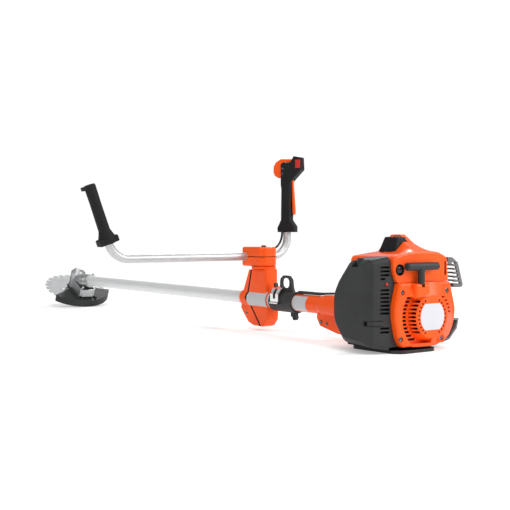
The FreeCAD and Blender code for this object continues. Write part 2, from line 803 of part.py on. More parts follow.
def left_grip():
    """Moulded grip with a hand stop at its foot and a small beak at its top."""
    base = "41"
    top = "41 + grip_length"
    stem = turned("Z", [(base, "bar_radius"), (base, "21"), ("45", "24"), ("50", "24"), ("66", "18"),
                        ("76", "grip_radius"),
                        ("145", "grip_radius - 0.6"), (f"{top} - 3", "grip_radius"),
                        (top, "grip_radius - 2"),
                        (top, "0"), (f"{top} - 4", "0"), (f"{top} - 4", "bar_radius")])
    stop = plate("Z", (base, "57"), [("-16", "-26"), ("16", "-26"), ("16", "26"), ("-16", "26")],
                 ("bar_radius", 0, 0))
    bevel_edges(stop, "3", lambda edge: edge.BoundBox.ZMin > 56 and not edge.Closed)
    round_edges(stop, "5", lambda edge: runs_along("Z")(edge))
    beak = block((-8, 8), (12, "grip_radius + 7"), (f"{top} - 10", f"{top} - 1"))
    return keep("left_grip", fuse(stem, stop, beak), left_grip_frame())


def throttle_outline():
    """Side view of the throttle handle, X towards the trigger."""
    base, top = "throttle_base", "throttle_top"
    return [("-27", base), ("24", base), ("25", f"{base} + 12"), ("14", f"{base} + 34"),
            ("13", f"{top} - 92"),
            ("15", f"{top} - 78"), ("15", f"{top} - 22"), ("8", f"{top} - 18"), ("-14", f"{top} - 17"),
            ("-24", top),
            ("-46", f"{top} - 4"), ("-48", f"{top} - 38"), ("-15", f"{top} - 72"), ("-14", f"{base} + 34"),
            ("-27", f"{base} + 16")]


def throttle_shell(low, high, outer_y):
    """One moulded half of the throttle handle, hollow for the bar and the linkage."""
    level = number(outer_y)
    half = plate("Y", (low, high), throttle_outline())
    round_edges(half, "4.5", lambda edge: abs(edge.BoundBox.YMin - level) < 0.01
                and abs(edge.BoundBox.YMax - level) < 0.01)
    return half


def throttle_rooms():
    """Space inside the throttle handle for the bar's end, the trigger, the lockout and the switch."""
    bar = rod("Z", ("throttle_base - 5", "bar_right_top + 4"), "bar_radius")
    trigger = block((-17, 30), (-7.5, 7.5), ("throttle_top - 66", "throttle_top - 8"))
    lockout = block((-30, -12), (-5, 5), ("throttle_base + 44", "throttle_top - 62"))
    switch = block((-45, -30), (0.5, 20), ("throttle_top - 34", "throttle_top - 10"))
    pins = rod("Y", (-11, 11), 2.6, ("9", "throttle_top - 34"))
    return [bar, trigger, lockout, switch, pins]


def throttle_handle_left():
    return keep("throttle_handle_left", cut(throttle_shell(0, 15, "15"), *throttle_rooms()),
                throttle_frame())


def throttle_handle_right():
    return keep("throttle_handle_right", cut(throttle_shell(-15, 0, "-15"), *throttle_rooms()),
                throttle_frame())


def throttle_trigger():
    """Trigger on a pin near its top: a curved finger blade ahead of the handle and a cap over it."""
    top = "throttle_top"
    blade = plate("Y", (-7, 7), [("16", f"{top} - 59"), ("25", f"{top} - 60"), ("36", f"{top} - 53"),
                                 ("40", f"{top} - 43"),
                                 ("39", f"{top} - 26"), ("32", f"{top} - 15"), ("18", f"{top} - 7"),
                                 ("-14", f"{top} - 8"),
                                 ("-15", f"{top} - 15.5"), ("10", f"{top} - 16"), ("16", f"{top} - 22"),
                                 ("16", f"{top} - 46")])
    round_edges(blade, "3", lambda edge: not runs_along("Y")(edge) and edge.CenterOfMass.x > 20)
    ear = block((5, 20), (-4, 4), (f"{top} - 38", f"{top} - 28"))
    pin = rod("Y", (-10.6, 10.6), 2.55, ("9", f"{top} - 34"))
    return keep("throttle_trigger", fuse(blade, ear, pin), throttle_frame())


def throttle_lockout():
    """Thin spring-loaded lever down the back of the handle that frees the trigger when squeezed."""
    body = plate("Y", (-4.5, 4.5), [("-15.5", "throttle_top - 66"), ("-18", "throttle_base + 60"),
                                    ("-20", "throttle_base + 48"), ("-24", "throttle_base + 50"),
                                    ("-24.5", "throttle_base + 60"), ("-18.5", "throttle_top - 70"),
                                    ("-18.5", "throttle_top - 66")])
    pivot = rod("Y", ("-4.5", "4.5"), 2, (-17, "throttle_top - 68"))
    return keep("throttle_lockout", fuse(body, pivot), throttle_frame())


def stop_switch():
    """Rocker of the stop switch, in the thumb side of the handle."""
    body = plate("Y", (3.5, 17), [("-44.5", "throttle_top - 33.5"), ("-30.5", "throttle_top - 33.5"),
                                ("-30.5", "throttle_top - 10.5"), ("-44.5", "throttle_top - 10.5")])
    round_edges(body, "1", lambda edge: edge.BoundBox.YMin > 16.9)
    return keep("stop_switch", body, throttle_frame())


def handlebar_cable():
    """Throttle cable from the handle's foot down the inside of the bar's bend and into the clamp."""
    points = [point("bar_x + 4.5", "-bar_right + 14.2", "throttle_base"),
              point("bar_x + 4.5", "-bar_right + 14.2", "throttle_base - 16"),
              point("bar_x + 3", "-bar_right + 29", "bar_z + 27"),
              point("bar_x + 1", "-bar_right + 54", "bar_z + 16"),
              point("bar_x + 1", "-clamp_half_width", "bar_z + 16")]
    path = bent_path(points, easy_radii(points))
    shape = pipe(path, 3)
    return keep("handlebar_cable", shaped(shape))


# ---- harness collar ------------------------------------------------------------------------------

def harness_eye():
    """The harness eye: a wide rounded ear standing on the collar, with a large oblong hole."""
    x, top = "eye_x", "eye_height"
    ear = plate("Y", (-3.5, 3.5), [(f"{x} - 36", "20"), (f"{x} + 34", "20"), (f"{x} + 26", "38"),
                                   (f"{x} + 24", f"{top} - 10"), (f"{x} + 12", top), (f"{x} - 12", top),
                                   (f"{x} - 24", f"{top} - 10"), (f"{x} - 27", "38")])
    round_edges(ear, "9", lambda edge: runs_along("Y")(edge) and edge.CenterOfMass.z > 45)
    hole = plate("Y", (-6, 6), [(f"{x} - 15", "35.5"), (f"{x} + 18", "35.5"), (f"{x} + 18", "61.5"), (f"{x} - 15", "61.5")])
    round_edges(hole, "11", runs_along("Y"))
    return cut(ear, hole)


def harness_collar():
    """Split collar that slides on the sleeve, with the harness eye, a hook and a lower eyelet."""
    start, end, x = "harness_start", "harness_end", "eye_x"
    band = rod("X", (start, end), "harness_radius")
    hook = plate("Y", (-4.5, 4.5), [(f"{x} + 20", "23.5"), (f"{x} + 42", "25"), (f"{x} + 49", "31"),
                                    (f"{x} + 52", "46"),
                                    (f"{x} + 46", "47"), (f"{x} + 41", "36"), (f"{x} + 20", "34")])
    eyelet = rod("Y", (-4, 4), 8.5, (f"{start} + 12", "-38"))
    stalk = block((f"{start} + 5", f"{start} + 27"), (-4, 4), (-38, -20))
    eyelet_hole = rod("Y", (-10, 10), 4, (f"{start} + 12", "-38"))
    lugs = [block((f"{x} + {at}", f"{x} + {at} + 3"), (20, 34.5), (-6, 0)) for at in (-6.4, 31.4)]
    latch_pin = rod("X", (f"{x} - 5", f"{x} + 33"), 1.3, (31.5, -3))
    bore = rod("X", (f"{start} - 1", f"{end} + 30"), "sleeve_radius + gap")
    opening = block((f"{start} - 1", f"{end} + 1"), (-40, 0), (-1.2, 1.2))
    solid = fuse(band, harness_eye(), hook, eyelet, stalk, latch_pin, *lugs)
    return keep("harness_collar", cut(solid, eyelet_hole, bore, opening))


def collar_latch():
    """Bright spring clip that closes the collar, hinged at its lower end."""
    body = plate("X", ("eye_x - 3", "eye_x + 31"),
                 [("28.4", "-3"), ("31.5", "-3"), ("31.5", "20"), ("23", "34"), ("8", "38.5"),
                  ("7.4", "36"), ("20.5", "32"),
                  ("28.4", "19")])
    slot = block(("eye_x + 9", "eye_x + 19"), (15, 40), (8, 34))
    curl = rod("X", ("eye_x - 3", "eye_x + 31"), 3, (31.5, -3))
    pin_hole = rod("X", ("eye_x - 4", "eye_x + 32"), 1.4, (31.5, -3))
    return keep("collar_latch", cut(fuse(body, curl), slot, pin_hole))


# ---- engine: running gear ------------------------------------------------------------------------

def crankshaft():
    """Crankshaft in two halves: the pin is cut short between the webs so that the rod passes."""
    middle = "cylinder_x"
    rear = rod("X", ("24", f"{middle} - 6"), "journal_radius")
    front = rod("X", (f"{middle} + 6", "clutch_end + 4"), "journal_radius")
    rear_web = rod("X", (f"{middle} - 8 - web_width", f"{middle} - 8"), "web_radius")
    front_web = rod("X", (f"{middle} + 8", f"{middle} + 8 + web_width"), "web_radius")
    rear_pin = rod("X", (f"{middle} - 8", f"{middle} - 5"), 5, (0, "crank_throw"))
    front_pin = rod("X", (f"{middle} + 5", f"{middle} + 8"), 5, (0, "crank_throw"))
    rear_half = cut(fuse(rear, rear_web, rear_pin), rod("X", (f"{middle} - 8", middle),
                                                        "journal_radius + 1", (0, 0)))
    front_half = cut(fuse(front, front_web, front_pin), rod("X", (middle, f"{middle} + 8"),
                                                            "journal_radius + 1", (0, 0)))
    return keep("crankshaft", group(rear_half, front_half))


def connecting_rod():
    """Connecting rod, at top dead centre."""
    small = "crank_throw + rod_length"
    big_end = rod("X", ("cylinder_x - 4", "cylinder_x + 4"), 9, (0, "crank_throw"))
    small_end = rod("X", ("cylinder_x - 4", "cylinder_x + 4"), 7, (0, small))
    beam = block(("cylinder_x - 3", "cylinder_x + 3"), (-4, 4), ("crank_throw", small))
    big_hole = rod("X", ("cylinder_x - 5", "cylinder_x + 5"), 5, (0, "crank_throw"))
    small_hole = rod("X", ("cylinder_x - 5", "cylinder_x + 5"), 4.5, (0, small))
    return keep("connecting_rod", cut(fuse(big_end, small_end, beam), big_hole, small_hole))


def piston():
    """Piston with its pin bosses and two ring grooves."""
    low, high = "crank_throw + rod_length - 14", "crank_throw + rod_length + 17"
    skirt = turned("Z", [(low, "piston_radius - 3"), (low, "piston_radius"),
                         (f"{high} - 10", "piston_radius"),
                         (f"{high} - 10", "piston_radius - 1.5"), (f"{high} - 8.5", "piston_radius - 1.5"),
                         (f"{high} - 8.5", "piston_radius"), (f"{high} - 5", "piston_radius"),
                         (f"{high} - 5", "piston_radius - 1.5"), (f"{high} - 3.5", "piston_radius - 1.5"),
                         (f"{high} - 3.5", "piston_radius"), (high, "piston_radius"), (high, "0"),
                         (f"{high} - 6", "0"),
                         (f"{high} - 6", "piston_radius - 3")])
    skirt.Placement = FreeCAD.Placement(point("cylinder_x", 0, 0), FreeCAD.Rotation())
    return keep("piston", group(skirt, piston_pin()))


def piston_pin():
    small = "crank_throw + rod_length"
    return cut(rod("X", ("cylinder_x - piston_radius + 3", "cylinder_x + piston_radius - 3"), 4.5,
                   (0, small)),
               rod("X", ("cylinder_x - 30", "cylinder_x + 30"), 2.5, (0, small)))


def crankcase():
    """Crankcase with the crank chamber, bearing seats and the opening to the cylinder."""
    case = block(("case_start", "case_end"), ("-case_half_width", "case_half_width"),
                 ("case_bottom", "case_top"))
    case = soften(case, "14", lambda edge: runs_along("X")(edge) and edge.CenterOfMass.z < 0)
    room = rod("X", ("cylinder_x - 20", "cylinder_x + 20"), "crank_room")
    way_up = rod("Z", (0, "case_top + 1"), "cylinder_bore + 2", ("cylinder_x", 0))
    rear_seat = rod("X", ("case_start + 8", "cylinder_x - 19"), 16)
    front_seat = rod("X", ("cylinder_x + 19", "case_end - 8"), 16)
    bore = rod("X", ("case_start - 1", "case_end + 1"), "journal_radius + 1")
    return keep("crankcase", cut(case, room, way_up, rear_seat, front_seat, bore))


def cylinder():
    """Finned cylinder with an intake stub on the left and an exhaust stub on the right."""
    across = ("cylinder_x", 0)
    barrel = rod("Z", ("case_top", "cylinder_top"), "cylinder_bore + 4.5", across)
    fins = []
    for i in range(8):
        low = f"case_top + 10 + {i} * 7.5"
        fins.append(block(("cylinder_x - fin_half_width + 4", "cylinder_x + fin_half_width - 4"),
                          ("-fin_half_width", "fin_half_width"), (low, f"{low} + 2.4")))
    intake = rod("Y", (20, 48), 11, ("cylinder_x", "case_top + 20"))
    exhaust = rod("Y", (-45, -20), 12, ("cylinder_x", "case_top + 20"))
    bore = rod("Z", ("case_top - 1", "cylinder_top - 5"), "cylinder_bore", across)
    intake_way = rod("Y", (5, 49), 8, ("cylinder_x", "case_top + 20"))
    exhaust_way = rod("Y", (-46, -5), 9, ("cylinder_x", "case_top + 20"))
    plug_hole = rod("Z", ("cylinder_top - 6", "cylinder_top + 1"), 6, across)
    return keep("cylinder", cut(fuse(barrel, *fins, intake, exhaust), bore, intake_way, exhaust_way,
                                plug_hole))


def spark_plug():
    top = "cylinder_top"
    body = turned("Z", [(f"{top} - 5", "0"), (f"{top} - 5", "6"), (top, "6"), (top, "9.5"),
                        (f"{top} + 9", "9.5"),
                        (f"{top} + 10", "5.5"), (f"{top} + 30", "4.5"), (f"{top} + 30", "2.5"),
                        (f"{top} + 36", "2.5"),
                        (f"{top} + 36", "0")])
    body.Placement = FreeCAD.Placement(point("cylinder_x", 0, 0), FreeCAD.Rotation())
    return keep("spark_plug", body)


def flywheel():
    """Flywheel with a magnet rim and a ring of fan blades on its rear face."""
    face = "flywheel_x"
    wheel = turned("X", [(f"{face} - 6", "journal_radius"), (f"{face} - 6", "15"), (face, "18"),
                         (face, "flywheel_radius"),
                         (f"{face} + 12", "flywheel_radius"), (f"{face} + 12", "flywheel_radius - 8"),
                         (f"{face} + 5", "flywheel_radius - 9"), (f"{face} + 5", "18"),
                         (f"{face} + 12", "15"),
                         (f"{face} + 12", "journal_radius")])
    blade = new_sketch(wheel, "YZ_Plane", f"{face} - 9")
    draw_outline(blade, [("34", "-1.2"), ("flywheel_radius - 1", "-1.2"), ("flywheel_radius - 1", "1.2"),
                         ("34", "1.2")])
    repeat_around(wheel, pad_up(wheel, blade, "9.5"), blade, 16)
    return keep("flywheel", wheel)


def ignition_module():
    """Coil block whose two legs face the flywheel's magnets across a small air gap."""
    rim = "flywheel_radius + gap"
    core = block(("flywheel_x + 1", "flywheel_x + 11"), (-22, 22),
                 ("flywheel_radius - 12", "flywheel_radius + 17"))
    coil = block(("flywheel_x - 5", "flywheel_x + 17"), (-12, 12),
                 ("flywheel_radius + 5", "flywheel_radius + 25"))
    return keep("ignition_module", cut(fuse(core, coil), rod("X", ("flywheel_x - 20", "flywheel_x + 30"),
                                                             rim)))


def clutch():
    """Centrifugal clutch: the hub with its three arms, and the shoes between them."""
    hub = disc("X", ("clutch_start", "clutch_end"), 13, ("journal_radius", 0, 0))
    arm = new_sketch(hub, "YZ_Plane", "clutch_start")
    draw_outline(arm, [("9", "-5"), ("22", "-5"), ("22", "5"), ("9", "5")])
    repeat_around(hub, pad_up(hub, arm, "clutch_end - clutch_start"), arm, 3)
    return keep("clutch", group(hub, shaped(clutch_shoes())))


def clutch_shoes(count=3):
    """Centrifugal shoes between the hub's arms, held in by their springs at rest."""
    start = number("clutch_start") + 1
    width = number("clutch_end") - number("clutch_start") - 2
    outer = number("drum_bore") - 0.8
    axis = FreeCAD.Vector(1, 0, 0)
    shoes = []
    for i in range(count):
        sector = Part.makeCylinder(outer, width, FreeCAD.Vector(start, 0, 0), axis, 84)
        sector = sector.cut(Part.makeCylinder(14, width, FreeCAD.Vector(start, 0, 0), axis)).Solids[0]
        middle = sector.CenterOfMass
        toward = math.degrees(math.atan2(middle.z, middle.y))
        sector.rotate(FreeCAD.Vector(), axis, 150 + 120 * i - toward)
        shoes.append(sector)
    return Part.makeCompound(shoes)


def clutch_drum():
    start, end = "clutch_start", "clutch_end"
    body = turned("X", [(f"{start} - 1", "drum_bore"), (f"{start} - 1", "drum_radius"),
                        (f"{end} + 9", "drum_radius"),
                        (f"{end} + 9", "10"), (f"{end} + 30", "10"), (f"{end} + 30", "shaft_radius"),
                        (f"{end} + 22", "shaft_radius"), (f"{end} + 22", "0"), (f"{end} + 6", "0"),
                        (f"{end} + 6", "drum_bore")])
    return keep("clutch_drum", body)


def clutch_housing():
    """Flared casting from the engine down to the shaft tube, carrying the drum's bearing."""
    start = "case_end"
    body = turned("X", [(start, "drum_radius + 3"), (start, "clutch_housing_radius"),
                        (f"{start} + 34", "clutch_housing_radius"),
                        ("sleeve_start - 22", "sleeve_flare + 3"), ("sleeve_start", "sleeve_flare"),
                        ("sleeve_start", "tube_radius"), ("tube_start", "tube_radius"),
                        ("tube_start", "14"),
                        ("tube_start - 14", "14"), ("tube_start - 14", "12"), ("tube_start - 20", "12"),
                        ("tube_start - 20", "drum_radius - 4"), ("tube_start - 36", "drum_radius + 3")])
    return keep("clutch_housing", body)


# ---- engine: breathing, fuel and ignition --------------------------------------------------------

def carburettor():
    """Carburettor body with its throat along the intake."""
    z = "case_top + 20"
    body = block(("cylinder_x - 20", "cylinder_x + 20"), (50, 84), (f"{z} - 18", f"{z} + 20"))
    body = soften(body, "3", runs_along("Y"))
    flange = rod("Y", (48, 50), 20, ("cylinder_x", z))
    throat = rod("Y", (47, 85), 9, ("cylinder_x", z))
    return keep("carburettor", cut(fuse(body, flange), throat))


def filter_base():
    """Plate that closes the filter room and carries the filter and the carburettor's mouth."""
    outline = filter_cover_section(number("wall") + 1, 86)
    panel = Part.Face(side_wire(outline)).extrude(FreeCAD.Vector(0, 4, 0))
    panel = panel.common(Part.makeBox(110, 10, 152, FreeCAD.Vector(number("housing_end") + 2, 85, -40)))
    mouth = Part.makeCylinder(9, 10, point("cylinder_x", 85, "case_top + 20"), FreeCAD.Vector(0, 1, 0))
    return shaped(panel.cut(mouth))


def air_filter():
    """Pleated filter on its base, inside the left cover."""
    body = block(("housing_end + 6", "filter_front - 26"), (90, 128), (-8, 84))
    pleats = []
    for i in range(10):
        low = f"-3 + {i} * 8.6"
        pleats.append(block(("housing_end + 2", "filter_front - 20"), (96, 129), (low, f"{low} + 3")))
    return keep("air_filter", group(cut(body, *pleats), filter_base()))


def muffler():
    """Muffler box bolted to the exhaust stub, hollow, with an outlet to the front."""
    x = ("cylinder_x - 42", "cylinder_x + 30")
    box = soften(block(x, (-112, -50), (34, 106)), "9", runs_along("X"))
    room = block(("cylinder_x - 39", "cylinder_x + 27"), (-109, -53), (37, 103))
    inlet = rod("Y", (-54, -45), 9, ("cylinder_x", "case_top + 20"))
    flange = block(("cylinder_x - 18", "cylinder_x + 18"), (-50, -45), (38, 70))
    outlet = rod("X", ("cylinder_x + 26", "cylinder_x + 31"), 6, (-80, 90))
    return keep("muffler", cut(fuse(box, flange), room, inlet, outlet))


def fuel_tank():
    """Fuel tank under the crankcase, hollow, with the filler neck on its right side."""
    shell = block(("case_start", "tank_front"), (-72, 92), (-70, -46))
    shell = soften(shell, "8", lambda edge: runs_along("Z")(edge) or runs_along("X")(edge)
                   and edge.CenterOfMass.z > -60)
    neck = rod("X", ("tank_front - 1", "tank_front + 8"), 10, (-50, "-58"))
    room = block(("case_start + 3", "tank_front - 3"), (-69, 89), (-67, -49))
    mouth = rod("X", ("tank_front - 4", "tank_front + 9"), 7, (-50, "-58"))
    return keep("fuel_tank", cut(fuse(shell, neck), room, mouth))


def fuel_cap():
    cap = turned("X", [("tank_front + 2", "10.3"), ("tank_front + 2", "14"), ("tank_front + 12", "14"),
                       ("tank_front + 14", "12"), ("tank_front + 14", "0"), ("tank_front + 9", "0"),
                       ("tank_front + 9", "10.3")])
    cap.Placement = FreeCAD.Placement(point(0, -50, "-58"), FreeCAD.Rotation())
    bar = block(("tank_front + 13", "tank_front + 19"), (-61, -39), ("-60.5", "-55.5"))
    return keep("fuel_cap", fuse(cap, bar))


def skid_plate():
    """Tough skid under the tank. Its lower face is level when the machine rests on skid and guard."""
    slope = "(skid_rear_z - guard_low_z) / (guard_low_x - skid_rear)"
    body = plate("Y", (-34, 90), [("skid_rear", "-70.4"), ("skid_rear", "skid_rear_z"),
                                  ("tank_front - 6",
                                   f"skid_rear_z - {slope} * (tank_front - 6 - skid_rear)"),
                                  ("tank_front - 6", "-70.4")])
    round_edges(body, "26", runs_along("Z"))
    return keep("skid_plate", body)


# ---- engine: housings ----------------------------------------------------------------------------

def arc_outline(segments, x):
    """A closed wire in a plane across the shaft from (y, z) corners, each with its own corner radius."""
    points = [FreeCAD.Vector(x, y, z) for y, z, radius in segments]
    radii = [radius for y, z, radius in segments]
    edges = []
    count = len(points)
    ends = []
    for i in range(count):
        corner, before, after = points[i], points[i - 1], points[(i + 1) % count]
        back = (before - corner).normalize()
        ahead = (after - corner).normalize()
        half_turn = (math.pi - back.getAngle(ahead)) / 2
        reach = radii[i] * math.tan(half_turn)
        inward = (back + ahead).normalize()
        centre = corner + inward * (radii[i] / math.cos(half_turn))
        ends.append((corner + back * reach, centre - inward * radii[i], corner + ahead * reach))
    for i in range(count):
        start, middle, finish = ends[i]
        edges.append(Part.Arc(start, middle, finish).toShape())
        edges.append(Part.LineSegment(finish, ends[(i + 1) % count][0]).toShape())
    return Part.Wire(edges)


def housing_corners(grow=0.0):
    """Rear view of the starter housing as (left, up, corner radius), with a waist at its upper and lower left."""
    left, right = number("housing_left"), number("housing_right")
    top, bottom = number("housing_top"), number("housing_bottom")
    corners = [(left - 13, top, 3), (left - 8, top - 20, 20), (left, 24, 30), (left - 1, -4, 30),
               (left - 10, -42, 40), (left - 22, bottom, 10), (-right + 69, bottom, 60),
               (-right + 15, bottom + 22, 45), (-right, 8, 60), (-right + 19, top, 8)]
    return [(y - grow * math.copysign(1, y), z - grow * math.copysign(1, z), radius) for y, z, radius in corners]


def starter_housing():
    """Rear housing with a raised nose, a sunken ring of vents and the starter's post."""
    face, end = number("housing_face"), number("housing_end")
    axis = FreeCAD.Vector(1, 0, 0)
    outer = Part.Face(arc_outline(housing_corners(), face)).extrude(FreeCAD.Vector(end - face, 0, 0))
    rim = [edge for edge in outer.Edges if abs(edge.BoundBox.XMin - face) < 1e-6
           and abs(edge.BoundBox.XMax - face) < 1e-6]
    outer = outer.makeFillet(6, rim)
    base = number("vent_floor") + 0.5
    nose = Part.makeCone(number("nose_radius"), number("nose_base"), base, FreeCAD.Vector(0, 0, 0), axis)
    nose = nose.makeFillet(2.5, [edge for edge in nose.Edges if edge.BoundBox.XMax < 0.01])
    # the arch above the nose guides the rope up to the handle
    arch = Part.makeBox(face + 4, 44, 32, FreeCAD.Vector(2, 3, 40))
    arch = arch.makeFillet(7, [edge for edge in arch.Edges if edge.BoundBox.XMax < 2.01])
    # on the right the nose runs out to the housing's face in one slope
    slope = Part.makeCone(number("nose_radius"), 80, face + 0.5, FreeCAD.Vector(0, 0, 0), axis)
    within = Part.Face(arc_outline(housing_corners(), -1)).extrude(FreeCAD.Vector(end, 0, 0))
    slope = slope.common(within).cut(Part.makeBox(60, 90, 101, FreeCAD.Vector(-20, 0, -57)))
    bosses = []
    for x, y, z in SCREW_PLACES:
        if x < face:
            bosses.append(Part.makeCone(9.5, 12, face - x + 3, FreeCAD.Vector(x - 1, y, z), axis))
    shape = outer.cut(vent_trough()).fuse([nose, arch, slope] + bosses)
    pockets = [Part.makeCylinder(6.2, 20, FreeCAD.Vector(x - 18, y, z), axis) for x, y, z in SCREW_PLACES]
    module_way = Part.makeBox(end, 54, 26, FreeCAD.Vector(24, -27, 56))
    shape = shape.cut(Part.makeCompound(pockets)).cut(module_way)
    shape = shape.cut(housing_rooms(face, end))
    shape = shape.cut(Part.makeCompound(vent_slots() + ring_slots()))
    post = Part.makeCylinder(5, 16, FreeCAD.Vector(2, 0, 0), axis)
    return keep("starter_housing", shaped(shape.fuse(post).removeSplitter()))


def vent_trough():
    """The ring left of the nose, sunk below the housing's face."""
    axis = FreeCAD.Vector(1, 0, 0)
    floor = number("vent_floor")
    trough = Part.makeCone(number("vent_radius") + 4, number("vent_radius"), floor + 5,
                           FreeCAD.Vector(-5, 0, 0), axis)
    return trough.common(Part.makeBox(60, 90, 101, FreeCAD.Vector(-20, 0, -57)))


def housing_rooms(face, end):
    """The fan's room, the pulley's room in the nose and the way up for the rope."""
    axis = FreeCAD.Vector(1, 0, 0)
    wall = number("wall")
    fan_radius = number("flywheel_radius") + 4
    x, y = number("pulley_x"), number("pulley_radius")
    fan = Part.makeCylinder(fan_radius, end, FreeCAD.Vector(number("vent_floor") + wall, 0, 0), axis)
    pulley = Part.makeCylinder(number("nose_radius") - 3, end, FreeCAD.Vector(wall, 0, 0), axis)
    rope = Part.makeCylinder(3.6, 60, FreeCAD.Vector(x, y, 20), FreeCAD.Vector(0, 0, 1))
    stem = Part.makeCylinder(8, 30, FreeCAD.Vector(x, y, 64), FreeCAD.Vector(0, 0, 1))
    hollow = Part.Face(arc_outline(housing_corners(wall + 1), face + 12)).extrude(FreeCAD.Vector(end, 0, 0))
    hollow = hollow.cut(Part.makeCylinder(fan_radius + 3, 200, FreeCAD.Vector(-10, 0, 0), axis))
    return fan.fuse([pulley, rope, stem]).fuse(hollow)


def vent_slots():
    """Level slots through the sunken ring and the nose's side, and a few on the upper right."""
    count = int(number("vent_slots"))
    pitch = number("vent_pitch")
    floor, height = number("vent_floor"), 5.0
    slots = []
    for i in range(count):
        z = (i - (count - 1) / 2) * pitch - 3.4
        outer = math.sqrt(number("vent_radius") ** 2 - z * z) - 3
        inner = math.sqrt(max((number("nose_base") + 1.5) ** 2 - z * z, 0))
        slots.append(Part.makeBox(10, outer - inner, height,
                                  FreeCAD.Vector(floor - 4, inner, z - height / 2)))
        if abs(z) < 40:
            near = math.sqrt((number("nose_radius") - 1.5) ** 2 - z * z)
            slots.append(Part.makeBox(17, 20, height, FreeCAD.Vector(3.2, near - 4, z - height / 2)))
        if z > 5:
            side = math.sqrt(52.0 ** 2 - z * z)
            slots.append(Part.makeBox(40, 13, height - 1, FreeCAD.Vector(-6, -side - 13, z - height / 2)))
    return slots


def ring_slots():
    """Short radial slots round the emblem, missing at the top and the bottom."""
    count = int(number("ring_slots"))
    slots = []
    for i in range(count):
        angle = (i + 0.5) * 360 / count
        if abs(abs(angle - 180) - 90) < 24:
            continue
        slot = Part.makeBox(4, 5.6, 4.4, FreeCAD.Vector(-1, number("ring_radius") - 3, -2.2))
        slot.rotate(FreeCAD.Vector(), FreeCAD.Vector(1, 0, 0), angle)
        slots.append(slot)
    return slots


# stations of the cylinder cover: place along the shaft, crest's left foot, left edge, right edge and height, right side
COVER_STATIONS = [(20, 52, 30, -5, 141, -72), (60, 50, 26, -3, 158, -90), (95, 44, 12, -10, 177, -96),
                  (130, 36, -2, -14, 177, -96), (156, 14, -6, -20, 160, -96)]


def cylinder_cover_section(station, inset, x):
    """The cover's outline at a station, drawn across the shaft and set in by some millimetres."""
    place, foot, crest_left, crest_right, crest, right = station
    side = 97 - inset
    corners = [(side - 13, 74.6, 1.5), (side - 3, 100, 25), (side, 129 - inset, 12), (foot, 139 - inset, 5),
               (crest_left, crest - inset, 4), (crest_right, crest - inset, 4),
               (crest_right * 0.55 - 37, 139 - inset, 12), (right + 5 + inset, 128 - inset, 12),
               (right + inset, 74.6, 1.5)]
    return arc_outline(corners, x)


def cylinder_cover_solid(inset, ends_inset):
    """Loft through the stations, with its rear edge rounded off by three insets."""
    first, last = COVER_STATIONS[0], COVER_STATIONS[-1]
    wires = []
    for step, more in ((0.0, 4.0), (1.2, 1.2), (4.0, 0.0)):
        wires.append(cylinder_cover_section(first, inset + more, first[0] + ends_inset + step))
    for station in COVER_STATIONS[1:-1]:
        wires.append(cylinder_cover_section(station, inset, station[0]))
    wires.append(cylinder_cover_section(last, inset, last[0] + ends_inset))
    return Part.makeLoft(wires, True, True)


def cylinder_cover():
    """Top cover over the cylinder: two shoulders and a crest, open below and at the front."""
    face, end = number("cover_face"), number("cover_end")
    wall = number("wall")
    shell = cylinder_cover_solid(0.0, 0.0).cut(cylinder_cover_solid(wall, wall))
    below = Part.makeBox(end, 300, 10, FreeCAD.Vector(face + wall, -150, 66))
    bulb = Part.makeCylinder(12.4, 12, FreeCAD.Vector(face - 2, 78, 102), FreeCAD.Vector(1, 0, 0))
    vent = Part.makeBox(20, 6, 30, FreeCAD.Vector(face - 2, -64, 88))
    plug = Part.makeBox(57, 40, 60, FreeCAD.Vector(65.5, 7, 138.2))
    muffler_side = Part.makeBox(end - 62, 34, 52, FreeCAD.Vector(64, -116, 70))
    filter_side = Part.makeBox(120, 30, 56, FreeCAD.Vector(44, 74, 60))
    for opening in (below, bulb, vent, plug, filter_side, muffler_side):
        shell = shell.cut(opening)
    return keep("cylinder_cover", shaped(shell))


def plug_cover():
    """Dark cap over the spark plug's lead, with sloping sides."""
    low = [FreeCAD.Vector(x, y, 138.5) for x, y in ((66, 7.5), (122, 7.5), (122, 46.5), (66, 46.5))]
    high = [FreeCAD.Vector(x, y, 172) for x, y in ((71, 8.5), (112, 8.5), (112, 37), (71, 37))]
    loft = Part.makeLoft([Part.makePolygon(low + low[:1]), Part.makePolygon(high + high[:1])], True, True)
    loft = loft.makeFillet(5, [edge for edge in loft.Edges if edge.CenterOfMass.z > 140])
    return keep("plug_cover", shaped(loft.cut(Part.makeBox(34, 20, 24, FreeCAD.Vector(76, 13, 137)))))


def filter_cover_section(grow, y):
    """Side view of the filter cover as (forward, up, corner radius), drawn across the machine."""
    rear, front = number("filter_rear") + grow, number("filter_front") - 0.6 * grow
    top, bottom = number("filter_top") - 0.8 * grow, number("filter_bottom") + 0.8 * grow
    return [(rear, top, 14), (front - 50, top - 4, 26), (front, top - 62, 60), (front, bottom + 44, 50),
            (front - 28, bottom + 6, 26), (rear, bottom, 10)], y


def side_wire(section):
    corners, y = section
    wire = arc_outline(corners, 0)
    # arc_outline draws in the Y-Z plane: turn it so that its first coordinate runs along X
    wire.rotate(FreeCAD.Vector(), FreeCAD.Vector(0, 0, 1), -90)
    wire.translate(FreeCAD.Vector(0, y, 0))
    return wire


def filter_cover_solid(grow, inner, face):
    """Slightly tapering walls up to the shoulder, then a wide bevel in to the flat face."""
    back = face - number("filter_face")
    stations = [(inner, 0.0), (number("filter_shoulder") + back, 9.0), (face - 1.5, 21.0), (face, 24.0)]
    wires = [side_wire(filter_cover_section(grow + inset, y)) for y, inset in stations]
    return Part.makeLoft(wires, True, True)


